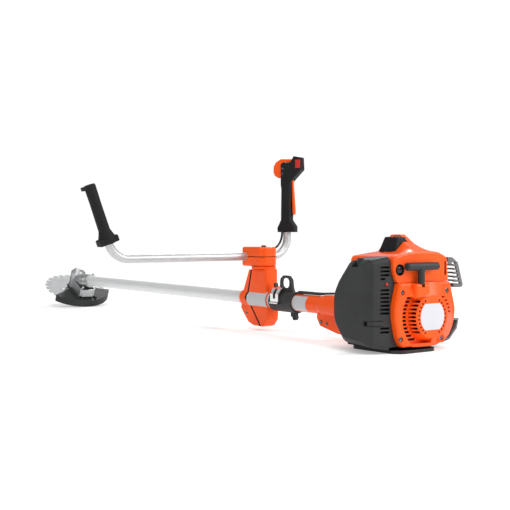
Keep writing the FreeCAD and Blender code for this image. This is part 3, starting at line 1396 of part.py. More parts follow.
def filter_cover_lip():
    """Flat lip that carries the filter cover's rear wall up to the housing's curved edge."""
    rear = number("filter_rear")
    lip = Part.makeBox(number("wall"), 28, 186, FreeCAD.Vector(rear + 0.6, 71, -63))
    housing = Part.Face(arc_outline(housing_corners(-0.6), 0)).extrude(FreeCAD.Vector(100, 0, 0))
    lip = lip.cut(housing).cut(cylinder_cover_solid(-0.6, -0.6))
    return max(lip.Solids, key=lambda solid: solid.Volume) if lip.Solids else lip


def pocket_in(shell, solid, low, size, wall=1.8):
    """Sink a box into a shell, with walls of its own that stay inside the cover's outer shape."""
    outside = Part.makeBox(*size, low)
    inside = Part.makeBox(size[0] - wall if size[0] < 30 else size[0], size[1] - wall, size[2] - 2 * wall,
                          low + FreeCAD.Vector(-0.01, wall, wall))
    return shell.cut(outside).fuse(outside.cut(inside).common(solid))


def air_filter_cover():
    """Left cover over the air filter: a deep tray with a bevelled rim and vent slots in its rear wall."""
    inner, face = number("filter_inner"), number("filter_face")
    wall, rear = number("wall"), number("filter_rear")
    solid = filter_cover_solid(0, inner, face)
    shell = solid.cut(filter_cover_solid(wall, inner - 1, face - wall))
    slots = []
    for first, count in ((105.4, 4), (57.1, 7), (-24.0, 2)):
        for i in range(count):
            length = 12 if (first, i) == (105.4, 3) else 22
            low = number("filter_shoulder") - 16 - length
            slots.append(Part.makeBox(16, length, 4.7, FreeCAD.Vector(rear - 3, low, first - 8.2 * i)))
    slots.append(Part.makeCylinder(3.4, 12, FreeCAD.Vector(rear - 3, inner + 9, 72), FreeCAD.Vector(1, 0, 0)))
    shell = shell.cut(Part.makeCompound(slots))
    latch_seat = FreeCAD.Vector(rear - 1, inner + 14, -18)
    shell = pocket_in(shell, solid, latch_seat, (29, 46, 14))
    # the choke's notch in the top bevel, open upwards and to the left
    notch = Part.makeBox(24, 30, 30, FreeCAD.Vector(rear + 42, face - 24, number("filter_top") - 26))
    room = Part.makeBox(20, 30, 30, FreeCAD.Vector(rear + 44, face - 22, number("filter_top") - 24))
    shell = shell.cut(notch).fuse(notch.cut(room).common(solid))
    pin = Part.makeCylinder(2, 8, FreeCAD.Vector(rear + 54, face - 23, number("filter_top") - 17),
                            FreeCAD.Vector(0, 1, 0))
    return keep("air_filter_cover", shaped(shell.fuse([pin, filter_cover_lip()]).removeSplitter()))


def cover_latch():
    """Over-centre clip that holds the filter cover, in a pocket across the cover's rear corner."""
    rear, inner = "filter_rear", "filter_inner"
    body = plate("Z", (-15.4, -6.6), [(f"{rear} + 1", f"{inner} + 17"), (f"{rear} + 5", f"{inner} + 17"),
                                      (f"{rear} + 10", f"{inner} + 36"), (f"{rear} + 21", f"{inner} + 45"),
                                      (f"{rear} + 18", f"{inner} + 49"), (f"{rear} + 7", f"{inner} + 40")])
    hub = rod("Z", ("-15.4", "-6.6"), 3, (f"{rear} + 18", f"{inner} + 45"))
    return keep("cover_latch", fuse(body, hub))


def choke_lever():
    """Choke lever in its notch at the top of the filter cover, turning about a pin across the machine."""
    z = "filter_top - 17"
    hub = rod("Y", ("filter_face - 21.5", "filter_face - 10"), 5.5, ("filter_rear + 54", z))
    arm = block(("filter_rear + 49.5", "filter_rear + 58.5"), ("filter_face - 20", "filter_face - 12"), (z, "filter_top - 5"))
    hole = rod("Y", ("filter_face - 24", "filter_face - 14.5"), 2.05, ("filter_rear + 54", z))
    return keep("choke_lever", cut(fuse(hub, arm), hole))


def muffler_guard():
    """Grey guard outside the muffler with a grille of level slots in its rear and side faces."""
    outer = plate("X", (46, 154), [("-98", "109"), ("-98", "126"), ("-112", "125"), ("-130", "113"),
                                   ("-147", "62"),
                                   ("-143", "57"), ("-116", "57"), ("-116", "109")])
    round_edges(outer, "5", lambda edge: runs_along("X")(edge) and edge.CenterOfMass.y < -105)
    room = plate("X", (48.5, 151.5), [("-96", "59.5"), ("-96", "123.5"), ("-111", "122.5"), ("-128", "111"),
                                      ("-144", "62.5"), ("-142", "59.5")])
    slots = []
    for i in range(6):
        low = f"64 + {i} * 9"
        slots.append(block((40, 50), (f"-137 + {i} * 3", "-110"), (low, f"{low} + 5")))
        slots.append(block((56, 140), (-160, -122), (low, f"{low} + 5")))
    return keep("muffler_guard", cut(outer, room, *slots))


def tank_guard():
    """Lower right guard between the starter housing and the tank."""
    body = plate("X", (46, 150), [("-74", "-60"), ("-80", "-66"), ("-104", "-60"), ("-128", "-37"),
                                  ("-134", "-14"),
                                  ("-96", "-12"), ("-96", "-16"), ("-129", "-18"), ("-124", "-35"),
                                  ("-102", "-56")])
    slots = []
    for i in range(5):
        start = f"60 + {i} * 17"
        slots.append(block((start, f"{start} + 9"), (-135, -120), (-31, -24)))
    return keep("tank_guard", cut(body, *slots))


def purge_bulb():
    """Rubber primer bulb in its well on the cylinder cover."""
    face = "cover_face"
    body = turned("X", [(f"{face} - 2", "0"), (f"{face} - 2", "3"), (f"{face} - 1", "6"), (f"{face} + 1.5", "8.4"),
                        (f"{face} + 4", "9.2"), (f"{face} + 4", "11.2"), (f"{face} + 10", "11.2"),
                        (f"{face} + 10", "0")])
    body.Placement = FreeCAD.Placement(point(0, 78, 102), FreeCAD.Rotation())
    return keep("purge_bulb", body)


# ---- starter -------------------------------------------------------------------------------------

def starter_pulley():
    """Rope pulley turning on the starter's post."""
    x = "pulley_x"
    body = turned("X", [(f"{x} - 5", "5 + fit"), (f"{x} - 5", "pulley_flange"),
                        (f"{x} - 3", "pulley_flange"),
                        (f"{x} - 1.5", "pulley_radius - 2"), (f"{x} + 1.5", "pulley_radius - 2"),
                        (f"{x} + 3", "pulley_flange"), (f"{x} + 5", "pulley_flange"),
                        (f"{x} + 5", "5 + fit")])
    return keep("starter_pulley", body)


def starter_rope():
    """The rope's straight stretch from the pulley up into the handle's stem."""
    return keep("starter_rope", group(rod("Z", (1, 72), 1.6, ("pulley_x", "pulley_radius"))))


def starter_handle():
    """T handle: a rounded bar on a short stem that rests in the housing's arch."""
    x, y = number("pulley_x"), number("pulley_radius")
    bar = Part.makeCylinder(8.6, 96, FreeCAD.Vector(x, y - 51, 109), FreeCAD.Vector(0, 1, 0))
    bar = bar.makeFillet(4, [edge for edge in bar.Edges if edge.Closed
                             and edge.Curve.TypeId == "Part::GeomCircle"])
    stem = Part.makeCylinder(7.5, 39, FreeCAD.Vector(x, y, 71), FreeCAD.Vector(0, 0, 1))
    stem = stem.cut(Part.makeCylinder(2, 8, FreeCAD.Vector(x, y, 70), FreeCAD.Vector(0, 0, 1)))
    gusset = Part.makeCone(7.5, 11, 9, FreeCAD.Vector(x, y, 96), FreeCAD.Vector(0, 0, 1))
    keep_flat = Part.makeBox(16.6, 60, 60, FreeCAD.Vector(x - 8.3, y - 30, 90))
    return keep("starter_handle", shaped(bar.fuse([stem, gusset.common(keep_flat)]).removeSplitter()))


# ---- fasteners -----------------------------------------------------------------------------------

def socket_screw(x, y, z, direction, radius, head):
    """The head of a socket screw: its top is at the point, and it goes in along the direction."""
    axis = FreeCAD.Vector(*direction)
    top = FreeCAD.Vector(number(x), number(y), number(z))
    body = Part.makeCylinder(radius, head, top, axis)
    return body.cut(Part.makeCylinder(radius * 0.5, head * 0.7, top, axis))


def screws():
    """Housing, web and mount screws, the gear head's clamp screw and plug, and the clamp's swivel bolt."""
    pieces = [socket_screw(x, y, z, (1, 0, 0), 4.4, 2) for x, y, z in SCREW_PLACES]
    pieces.append(socket_screw("collar_start + 22", 26, 16.5, (0, 0, -1), 4.5, 3.5))
    pieces.append(socket_screw("collar_start + 12", -12, 25.7, (0, 0, -1), 3.5, 3.5))
    pieces.append(socket_screw("flare_end - 12", 15, -40, (0, -1, 0), 4, 2))
    pieces.append(socket_screw("flare_end - 34", 15, -43, (0, -1, 0), 4, 2))
    pieces.append(socket_screw(672, "mount_half_width + 0.6", -40, (0, -1, 0), 4, 1.6))
    return keep("screws", group(shaped(Part.makeCompound(pieces)), clamp_bolt()))


# ---- make everything, stand it on the ground and write it ----------------------------------------

def rest_placement():
    """Tilts the machine onto its skid and its guard, and centres its box over the origin."""
    run = number("guard_low_x - skid_rear")
    drop = number("skid_rear_z - guard_low_z")
    tilt = FreeCAD.Rotation(FreeCAD.Vector(0, -1, 0), math.degrees(math.atan2(drop, run)))
    ground = tilt.multVec(point("skid_rear", 0, "skid_rear_z")).z
    centre = tilt.multVec(point("centre_x", "centre_y", 0))
    return FreeCAD.Placement(FreeCAD.Vector(-centre.x, -centre.y, -ground), tilt)


MAKERS = [shaft_tube, shaft_bushings, drive_shaft, shaft_sleeve, cable_conduit, pinion_gear, crown_gear,
          output_shaft, gear_housing, ball_bearings, drive_disc, saw_blade, support_flange, lock_nut,
          guard_bracket, blade_guard, handle_mount_rear, handle_mount_front, clamp_base, clamp_top,
          handlebar,
          left_grip, throttle_handle_left, throttle_handle_right, throttle_trigger, throttle_lockout,
          stop_switch, handlebar_cable, harness_collar, collar_latch, crankshaft, connecting_rod, piston,
          crankcase, cylinder, spark_plug, flywheel, ignition_module, clutch, clutch_drum, clutch_housing,
          carburettor, air_filter, muffler, fuel_tank, fuel_cap, skid_plate, starter_housing,
          cylinder_cover,
          plug_cover, air_filter_cover, cover_latch, choke_lever, muffler_guard, tank_guard, purge_bulb,
          starter_pulley, starter_rope, starter_handle, screws]

for maker in MAKERS:
    maker()
doc.recompute()

failed = [f"{each.Label} in {[user.Label for user in each.InList]}" for each in doc.Objects
          if "Invalid" in each.State or "Error" in each.State]
if failed:
    raise RuntimeError(f"These did not compute: {failed}")

standing = rest_placement()
os.makedirs("parts", exist_ok=True)
for piece in PARTS:
    piece.Placement = standing.multiply(piece.Placement)
    doc.recompute()
    if piece.Shape.isNull() or not piece.Shape.isValid() or not piece.Shape.Solids:
        raise RuntimeError(f"{piece.Label} has no valid solid")
    piece.Shape.exportStep(f"parts/{piece.Label}.step")
print(len(PARTS), "sub-parts written")
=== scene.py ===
import json
import math

import bmesh
import bpy
from mathutils import Matrix, Vector

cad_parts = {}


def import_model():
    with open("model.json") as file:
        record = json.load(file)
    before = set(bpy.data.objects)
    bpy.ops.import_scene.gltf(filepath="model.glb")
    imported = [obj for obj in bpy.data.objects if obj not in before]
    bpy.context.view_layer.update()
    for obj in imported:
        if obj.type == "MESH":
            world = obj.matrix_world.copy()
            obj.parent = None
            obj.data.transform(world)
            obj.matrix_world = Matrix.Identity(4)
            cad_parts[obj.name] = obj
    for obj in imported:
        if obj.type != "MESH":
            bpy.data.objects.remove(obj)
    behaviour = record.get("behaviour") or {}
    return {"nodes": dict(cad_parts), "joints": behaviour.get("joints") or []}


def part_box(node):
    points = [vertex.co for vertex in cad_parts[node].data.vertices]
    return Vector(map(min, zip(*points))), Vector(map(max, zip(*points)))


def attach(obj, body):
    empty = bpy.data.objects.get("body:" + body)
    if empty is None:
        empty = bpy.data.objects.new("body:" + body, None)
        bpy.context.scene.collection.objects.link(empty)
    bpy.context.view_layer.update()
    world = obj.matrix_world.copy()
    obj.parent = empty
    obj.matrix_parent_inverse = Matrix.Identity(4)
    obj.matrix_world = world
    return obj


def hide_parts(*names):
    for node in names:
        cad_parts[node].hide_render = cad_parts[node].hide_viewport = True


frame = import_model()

bpy.context.view_layer.update()

# A clearing saw on a pale studio floor. Lengths in this file are in millimetres of the machine's own
# frame (X forward along the drive shaft, Y to the operator's left, Z up), until place() turns them
# into the row frame. Lamps' sizes and noise scales are in metres, or per metre.

MM = 0.001
JOINTS = {joint["name"]: joint for joint in frame["joints"]}
PULLEY_X = 9.0          # the starter pulley's middle, ahead of the housing's rear face
SLEEVE_RADIUS = 22.3
BARREL_RADIUS = 26.5
BAR_PLANE_X = 665.0
BAR_Z = 115.0
THROTTLE_Y = -114.0
THROTTLE_TURN = 30.0
APEX_X = 1820.0         # where the shaft's and the blade's axes cross
GEAR_ANGLE = 24.0

FOIL_THICKNESS = 0.25
FOIL_GAP = 0.02         # between a foil and the face it is on
LABEL_HALF_ANGLE = math.radians(56)
LABEL_STEPS = 20
BADGE_RADIUS = 36.0
BADGE_FLAT = 28.5       # from the badge's middle to its flat top
GASKET_HALF_WIDTH = 19.2
GASKET_START = 0.3      # from the mount's joint plane to the gasket's rear and front
GASKET_END = 3.7
GASKET_INNER = 18.0
GASKET_THICKNESS = BARREL_RADIUS - 18.8     # its outer edge stays just inside the barrel's face
SEAM_KNEE = (670.0, 2.0)    # where the mount's joint changes slope, as (x, z)
SEAM_SLOPE_BELOW = 0.829
SEAM_SLOPE_ABOVE = -0.2625
PACKING_HALF_HEIGHT = 0.9
RIB_FOOT = -25.2        # heights in the gear head's frame
RIB_TOP = -19.5
BULB_CENTRE = (20, 78, 102)
SCREW_TOP = (9.0, 15.0, 359.0)      # the upper screw, in the throttle handle's frame
SCREW_SPACING = 15.0

# The throttle cable's route: the handle's foot, round the inside of the bar's bend, into the clamp.
CABLE_ROUTE = [(669.5, -99.8, 181), (669.5, -99.8, 165), (668, -85, 142), (666, -60, 131),
               (666, -29, 131)]
CABLE_RADIUS = 3.0

CAMERA_AT = (-1383.8, 1454.5, 187.0)
CAMERA_YAW = -35.43
CAMERA_PITCH = -1.565
CAMERA_LENS = 64.6

GLOW_LOW = 0.30         # the studio wall as a light, near the horizon
GLOW_HIGH = 0.46        # and overhead
EDGE_COSINE = 0.9       # of the angle between rounded and flat normals where the edge mask is full
SHARP_ANGLE = math.radians(40)
WALL_SEEN = 1.02        # the studio wall as the camera sees it
LATHE_CORE = 0.05       # radius left open along a turned piece's axis
FLOOR_REACH = 60.0      # metres
FLOOR_DROP = 0.0003     # metres below the machine's lowest point
FLOOR_SHADE = 0.80
FLOOR_GLOW = 0.32


# ---- frames --------------------------------------------------------------------------------------

def machine_matrix():
    """The machine's frame in the row frame: its X axis is the starter pulley's."""
    pulley = JOINTS["starter_pulley_spin"]
    forward = Vector(pulley["axis"]).normalized()
    left = Vector((0, 1, 0))
    up = forward.cross(left).normalized()
    origin = Vector(pulley["pos_m"]) - forward * PULLEY_X * MM
    turn = Matrix((forward, left, up)).transposed().to_4x4()
    return Matrix.Translation(origin) @ turn


MACHINE = machine_matrix()
THROTTLE = (MACHINE @ Matrix.Translation(Vector((BAR_PLANE_X, THROTTLE_Y, 0)) * MM)
            @ Matrix.Rotation(math.radians(THROTTLE_TURN), 4, "Z"))
HEAD = (MACHINE @ Matrix.Translation(Vector((APEX_X, 0, 0)) * MM)
        @ Matrix.Rotation(math.radians(-GEAR_ANGLE), 4, "Y"))


def place(point, matrix=MACHINE):
    """A point of the machine's frame, in millimetres, in the row frame in metres."""
    return matrix @ (Vector(point) * MM)


# ---- material helpers ----------------------------------------------------------------------------

class Graph:
    """A material's node tree, with short names for what the materials below need."""

    def __init__(self, name):
        self.material = bpy.data.materials.new(name)
        self.material.use_nodes = True
        self.tree = self.material.node_tree
        self.shader = self.tree.nodes["Principled BSDF"]
        self.place = self.add("ShaderNodeTexCoord").outputs["Object"]

    def add(self, kind, **settings):
        node = self.tree.nodes.new(kind)
        for key, value in settings.items():
            setattr(node, key, value)
        return node

    def join(self, source, target):
        self.tree.links.new(source, target)

    def set(self, **values):
        """Plain values for the shader's inputs."""
        for key, value in values.items():
            self.shader.inputs[key.replace("_", " ")].default_value = value

    def feed(self, **sources):
        """Links to the shader's inputs."""
        for key, source in sources.items():
            self.join(source, self.shader.inputs[key.replace("_", " ")])

    def noise(self, scale, detail, stretch=(1, 1, 1)):
        """Noise over the object, with its grain stretched along some axes."""
        mapping = self.add("ShaderNodeMapping")
        mapping.inputs["Scale"].default_value = stretch
        self.join(self.place, mapping.inputs["Vector"])
        texture = self.add("ShaderNodeTexNoise")
        texture.inputs["Scale"].default_value = scale
        texture.inputs["Detail"].default_value = detail
        self.join(mapping.outputs["Vector"], texture.inputs["Vector"])
        return texture.outputs["Fac"]

    def cells(self, scale):
        texture = self.add("ShaderNodeTexVoronoi")
        texture.inputs["Scale"].default_value = scale
        self.join(self.place, texture.inputs["Vector"])
        return texture.outputs["Distance"]

    def rings(self, scale, centre):
        """Noise that only changes with the distance from a centre, in the row frame."""
        shift = self.add("ShaderNodeVectorMath", operation="SUBTRACT")
        shift.inputs[1].default_value = centre
        self.join(self.place, shift.inputs[0])
        length = self.add("ShaderNodeVectorMath", operation="LENGTH")
        self.join(shift.outputs["Vector"], length.inputs[0])
        texture = self.add("ShaderNodeTexNoise", noise_dimensions="1D")
        texture.inputs["Scale"].default_value = scale
        self.join(length.outputs["Value"], texture.inputs["W"])
        return texture.outputs["Fac"]

    def spread(self, value, low, high, start=0.3, end=0.7):
        """A value from start to end mapped to low to high."""
        node = self.add("ShaderNodeMapRange")
        node.inputs["From Min"].default_value = start
        node.inputs["From Max"].default_value = end
        node.inputs["To Min"].default_value = low
        node.inputs["To Max"].default_value = high
        self.join(value, node.inputs["Value"])
        return node.outputs["Result"]

    def tint(self, value, first, second):
        """The colour between two colours that the value picks."""
        node = self.add("ShaderNodeMix", data_type="RGBA")
        node.inputs["A"].default_value = (*first, 1)
        node.inputs["B"].default_value = (*second, 1)
        self.join(value, node.inputs["Factor"])
        return node.outputs["Result"]

    def cover(self, under, colour, mask):
        """One colour laid over what is under it, where the mask says."""
        node = self.add("ShaderNodeMix", data_type="RGBA")
        node.inputs["B"].default_value = (*colour, 1)
        self.join(under, node.inputs["A"])
        self.join(mask, node.inputs["Factor"])
        return node.outputs["Result"]

    def bump(self, height, depth, strength=1.0, below=None):
        """Bump of a depth in millimetres, over another bump or a rounded edge."""
        node = self.add("ShaderNodeBump")
        node.inputs["Strength"].default_value = strength
        node.inputs["Distance"].default_value = depth * MM
        self.join(height, node.inputs["Height"])
        if below is not None:
            self.join(below, node.inputs["Normal"])
        return node.outputs["Normal"]

    def rounded(self, radius):
        """Normals that turn smoothly round the part's edges, as a moulding's do."""
        node = self.add("ShaderNodeBevel", samples=4)
        node.inputs["Radius"].default_value = radius * MM
        return node.outputs["Normal"]

    def edge_mask(self, radius):
        """A mask of the part's edges: where the rounded normal leaves the surface's own."""
        geometry = self.add("ShaderNodeNewGeometry")
        product = self.add("ShaderNodeVectorMath", operation="DOT_PRODUCT")
        self.join(geometry.outputs["Normal"], product.inputs[0])
        self.join(self.rounded(radius), product.inputs[1])
        return self.spread(product.outputs["Value"], 1.0, 0.0, EDGE_COSINE, 1.0)


def moulded_plastic(name, dark, light, roughness, grain=0.015, edge=0.7, specular=0.4):
    """Moulded plastic: fine grain, slow change of colour, and edges lightened in colour as a painted
    highlight.
    """
    graph = Graph(name)
    body = graph.tint(graph.spread(graph.noise(14, 3), 0, 1), dark, light)
    # Painted highlight: the edges get a lighter colour, standing in for gloss on their rounded faces.
    edge_highlight = tuple(min(1.0, channel * 1.35 + 0.02) for channel in light)
    lighter_edges = graph.spread(graph.edge_mask(1.2), 0, 0.45, 0, 1)
    gloss = graph.spread(graph.noise(60, 4), roughness - 0.05, roughness + 0.06)
    fine = graph.bump(graph.noise(2400, 2), grain, below=graph.rounded(edge))
    graph.feed(Base_Color=graph.cover(body, edge_highlight, lighter_edges), Roughness=gloss, Normal=fine)
    graph.set(Specular_IOR_Level=specular)
    return graph.material


def drawn_metal(name, dark, light, roughness, stretch, metallic=1.0):
    """Drawn or ground metal, with fine lines along one direction."""
    graph = Graph(name)
    lines = graph.noise(900, 3, stretch)
    shade = graph.tint(graph.spread(lines, 0, 1), dark, light)
    gloss = graph.spread(lines, roughness - 0.06, roughness + 0.08)
    ground = graph.bump(lines, 0.006, below=graph.rounded(0.4))
    graph.feed(Base_Color=shade, Roughness=gloss, Normal=ground)
    graph.set(Metallic=metallic)
    return graph.material


def cast_metal(name, dark, light, roughness, depth=0.05):
    """Die-cast metal: a blasted skin with faint flow marks and brighter edges."""
    graph = Graph(name)
    lighter_edges = graph.spread(graph.edge_mask(1.0), 0, 0.8, 0, 1)
    body = graph.tint(graph.spread(graph.noise(45, 5), 0, 1), dark, light)
    gloss = graph.spread(graph.noise(300, 3), roughness - 0.08, roughness + 0.1)
    skin = graph.bump(graph.noise(1300, 3), depth, below=graph.rounded(0.9))
    graph.feed(Base_Color=graph.cover(body, (0.92, 0.92, 0.92), lighter_edges), Roughness=gloss, Normal=skin)
    graph.set(Metallic=1.0)
    return graph.material


def blade_steel():
    """Saw blade steel, ground in rings about its own centre, with lighter rubbed spots."""
    graph = Graph("blade_steel")
    low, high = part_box("output_shaft")
    rings = graph.rings(2600, (low + high) / 2)
    shade = graph.tint(graph.spread(rings, 0, 1), (0.30, 0.31, 0.32), (0.44, 0.45, 0.46))
    spots = graph.spread(graph.noise(70, 5), 0, 0.5)
    ground = graph.bump(rings, 0.01, below=graph.rounded(0.3))
    graph.feed(Base_Color=graph.cover(shade, (0.55, 0.55, 0.55), spots),
               Roughness=graph.spread(rings, 0.42, 0.6), Normal=ground)
    graph.set(Metallic=0.85)
    return graph.material


def grip_rubber():
    """Soft grip: charcoal with a fine pebbled skin."""
    graph = Graph("grip_rubber")
    shade = graph.tint(graph.noise(30, 3), (0.009, 0.009, 0.010), (0.017, 0.017, 0.018))
    pebbles = graph.bump(graph.cells(900), 0.12, 0.6, below=graph.rounded(1.0))
    graph.feed(Base_Color=shade, Roughness=graph.spread(graph.noise(200, 3), 0.5, 0.66), Normal=pebbles)
    graph.set(Specular_IOR_Level=0.15)
    return graph.material


def printed_foil(name, shade, roughness):
    """A blank printed foil: even, slightly glossy, with a faint ripple."""
    graph = Graph(name)
    low = tuple(channel * 0.95 for channel in shade)
    gloss = graph.spread(graph.noise(80, 2), roughness - 0.04, roughness + 0.05)
    graph.feed(Base_Color=graph.tint(graph.noise(25, 2), low, shade), Roughness=gloss,
               Normal=graph.bump(graph.noise(120, 2), 0.02, 0.5))
    graph.set(Coat_Weight=0.3, Coat_Roughness=0.2)
    return graph.material


def felt():
    """Filter felt: matt, mottled and slightly fluffy."""
    graph = Graph("filter_felt")
    shade = graph.tint(graph.noise(400, 4), (0.30, 0.28, 0.22), (0.52, 0.50, 0.42))
    graph.feed(Base_Color=shade, Normal=graph.bump(graph.noise(1800, 3), 0.2))
    graph.set(Roughness=0.95)
    return graph.material


def braid():
    """Braided cord: slanting strands round the rope."""
    graph = Graph("rope_braid")
    waves = graph.add("ShaderNodeTexWave", bands_direction="DIAGONAL")
    waves.inputs["Scale"].default_value = 500
    graph.join(graph.place, waves.inputs["Vector"])
    strands = waves.outputs["Fac"]
    shade = graph.tint(strands, (0.35, 0.35, 0.34), (0.75, 0.75, 0.72))
    graph.feed(Base_Color=shade, Normal=graph.bump(strands, 0.25))
    graph.set(Roughness=0.85)
    return graph.material


ORANGE = moulded_plastic("orange_plastic", (0.86, 0.078, 0.003), (0.96, 0.105, 0.005), 0.36,
                         specular=0.25)
CHARCOAL = moulded_plastic("dark_plastic", (0.026, 0.027, 0.028), (0.038, 0.039, 0.040), 0.5,
                           grain=0.03, specular=0.22)
GREY = moulded_plastic("grey_plastic", (0.11, 0.115, 0.12), (0.16, 0.165, 0.17), 0.48, grain=0.03)
BLACK = moulded_plastic("black_plastic", (0.006, 0.006, 0.007), (0.012, 0.012, 0.013), 0.5,
                        specular=0.2)
RED = moulded_plastic("red_plastic", (0.42, 0.012, 0.010), (0.55, 0.020, 0.015), 0.35)
RUBBER = moulded_plastic("black_rubber", (0.008, 0.008, 0.009), (0.016, 0.016, 0.017), 0.26,
                         grain=0.006, edge=1.5)
GRIP = grip_rubber()
TUBE = drawn_metal("aluminium_tube", (0.70, 0.705, 0.71), (0.80, 0.805, 0.81), 0.52, (0.02, 1, 1),
                   metallic=0.4)
BAR = drawn_metal("handlebar_metal", (0.50, 0.505, 0.51), (0.60, 0.605, 0.61), 0.44, (1, 0.05, 0.3),
                  metallic=0.6)
CASTING = cast_metal("cast_aluminium", (0.40, 0.405, 0.41), (0.56, 0.565, 0.57), 0.46)
STEEL = drawn_metal("steel", (0.42, 0.425, 0.43), (0.60, 0.605, 0.61), 0.32, (1, 0.05, 1))
DARK_STEEL = cast_metal("dark_steel", (0.035, 0.035, 0.038), (0.06, 0.06, 0.065), 0.38, 0.01)
CHROME = drawn_metal("polished_steel", (0.74, 0.745, 0.75), (0.84, 0.845, 0.85), 0.18, (1, 1, 0.05))
BLADE = blade_steel()
FOIL = printed_foil("silver_foil", (0.50, 0.51, 0.52), 0.45)
BADGE = printed_foil("badge_foil", (0.60, 0.61, 0.65), 0.4)
FELT = felt()
ROPE = braid()

# Each finish with the record's slot and the CAD nodes that take it.
FINISHES = [
    (ORANGE, "orange_plastic", ["starter_housing", "cylinder_cover", "shaft_sleeve", "handle_mount_rear",
                                "handle_mount_front", "clamp_base", "clamp_top", "throttle_trigger",
                                "throttle_lockout", "clutch_housing"]),
    (CHARCOAL, "dark_plastic", ["air_filter_cover", "cover_latch", "choke_lever", "fuel_cap", "skid_plate",
                                "starter_handle", "starter_pulley", "blade_guard", "harness_collar",
                                "cable_conduit"]),
    (BLACK, "dark_plastic", ["plug_cover", "fuel_tank", "ignition_module"]),
    # The flywheel is cast aluminium, yet takes black plastic: painted shade for the inside seen through
    # the starter's vents.
    (BLACK, "cast_aluminium", ["flywheel"]),
    (GREY, "grey_plastic", ["muffler_guard", "tank_guard"]),
    (RED, "red_plastic", ["stop_switch"]),
    (RUBBER, "black_rubber", ["purge_bulb", "handlebar_cable", "shaft_bushings"]),
    (GRIP, "dark_plastic", ["left_grip", "throttle_handle_left", "throttle_handle_right"]),
    (TUBE, "aluminium_tube", ["shaft_tube"]),
    (BAR, "aluminium_tube", ["handlebar"]),
    (CASTING, "cast_aluminium", ["gear_housing", "guard_bracket", "crankcase", "cylinder", "piston",
                                 "carburettor"]),
    (STEEL, "steel", ["drive_disc", "support_flange", "lock_nut", "output_shaft", "crown_gear",
                      "pinion_gear", "drive_shaft", "crankshaft", "connecting_rod", "ball_bearings",
                      "muffler", "clutch_drum", "clutch", "spark_plug"]),
    (CHROME, "steel", ["collar_latch"]),
    (BLADE, "steel", ["saw_blade"]),
    (DARK_STEEL, "dark_steel", ["screws"]),
    (FELT, "filter_felt", ["air_filter"]),
    (ROPE, "rope", ["starter_rope"]),
]

for finish, slot_name, nodes in FINISHES:
    for node in nodes:
        part = frame["nodes"][node]
        part.data.materials.clear()
        part.data.materials.append(finish)


# ---- mesh helpers --------------------------------------------------------------------------------

def piece(name, mesh, finish, body, bevel=0.0):
    """A finished piece that rides on a body; its edges stay sharp above SHARP_ANGLE."""
    obj = bpy.data.objects.new(name, mesh)
    bpy.context.scene.collection.objects.link(obj)
    mesh.materials.append(finish)
    if bevel:
        modifier = obj.modifiers.new("edges", "BEVEL")
        modifier.width = bevel * MM
        modifier.segments = 2
        modifier.limit_method = "ANGLE"
    mesh.polygons.foreach_set("use_smooth", [True] * len(mesh.polygons))
    mesh.set_sharp_from_angle(angle=SHARP_ANGLE)
    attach(obj, body)


def mesh_of(name, points, faces):
    """A mesh whose faces all look outward."""
    mesh = bpy.data.meshes.new(name)
    mesh.from_pydata([tuple(point) for point in points], [], faces)
    shape = bmesh.new()
    shape.from_mesh(mesh)
    bmesh.ops.recalc_face_normals(shape, faces=shape.faces)
    shape.to_mesh(mesh)
    shape.free()
    return mesh


def slab(name, outline, low, high, axis, matrix=MACHINE):
    """A closed plate from an outline in the plane across an axis, from low to high along it."""
    points = []
    for level in (low, high):
        for first, second in outline:
            corner = [first, second]
            corner.insert("XYZ".index(axis), level)
            points.append(place(corner, matrix))
    count = len(outline)
    faces = [tuple(range(count)), tuple(range(2 * count - 1, count - 1, -1))]
    for i in range(count):
        following = (i + 1) % count
        faces.append((i, following, following + count, i + count))
    return mesh_of(name, points, faces)


def wrapped_sheet(name, rows, radius, thickness):
    """A thin sheet round the shaft, from rows of (angle, start, end) along the shaft."""
    points = []
    for shell in (radius, radius + thickness):
        for angle, start, end in rows:
            for x in (start, end):
                points.append(place((x, shell * math.cos(angle), shell * math.sin(angle))))
    count = len(rows)
    faces = []
    for i in range(count - 1):
        inner = 2 * i
        outer = 2 * count + 2 * i
        faces.append((inner, inner + 1, inner + 3, inner + 2))
        faces.append((outer, outer + 2, outer + 3, outer + 1))
        faces.append((inner, inner + 2, outer + 2, outer))
        faces.append((inner + 1, outer + 1, outer + 3, inner + 3))
    for i in (0, count - 1):
        inner = 2 * i
        outer = 2 * count + 2 * i
        faces.append((inner, outer, outer + 1, inner + 1))
    return mesh_of(name, points, faces)


def turned_mesh(name, profile, centre, axis, matrix=MACHINE, steps=40):
    """A closed lathe shape: profile gives (along, radius) from a centre along an axis."""
    along = Vector(axis).normalized()
    side = along.orthogonal().normalized()
    across = along.cross(side)
    points = []
    for distance, radius in profile:
        for i in range(steps):
            angle = 2 * math.pi * i / steps
            offset = side * (radius * math.cos(angle)) + across * (radius * math.sin(angle))
            points.append(place(Vector(centre) + along * distance + offset, matrix))
    faces = []
    rows = len(profile)
    for row in range(rows):
        following = (row + 1) % rows
        for i in range(steps):
            ahead = (i + 1) % steps
            faces.append((row * steps + i, row * steps + ahead,
                          following * steps + ahead, following * steps + i))
    return mesh_of(name, points, faces)


def dome(name, centre, axis, radius, height, finish, body, matrix=MACHINE):
    """A small button or screw head with a softened rim, standing on a face."""
    profile = [(-1.0, LATHE_CORE), (-1.0, radius), (height * 0.6, radius),
               (height * 0.9, radius * 0.86), (height, radius * 0.55),
               (height * 0.8, radius * 0.42), (height * 0.8, LATHE_CORE)]
    piece(name, turned_mesh(name, profile, centre, axis, matrix), finish, body)


# ---- pieces --------------------------------------------------------------------------------------

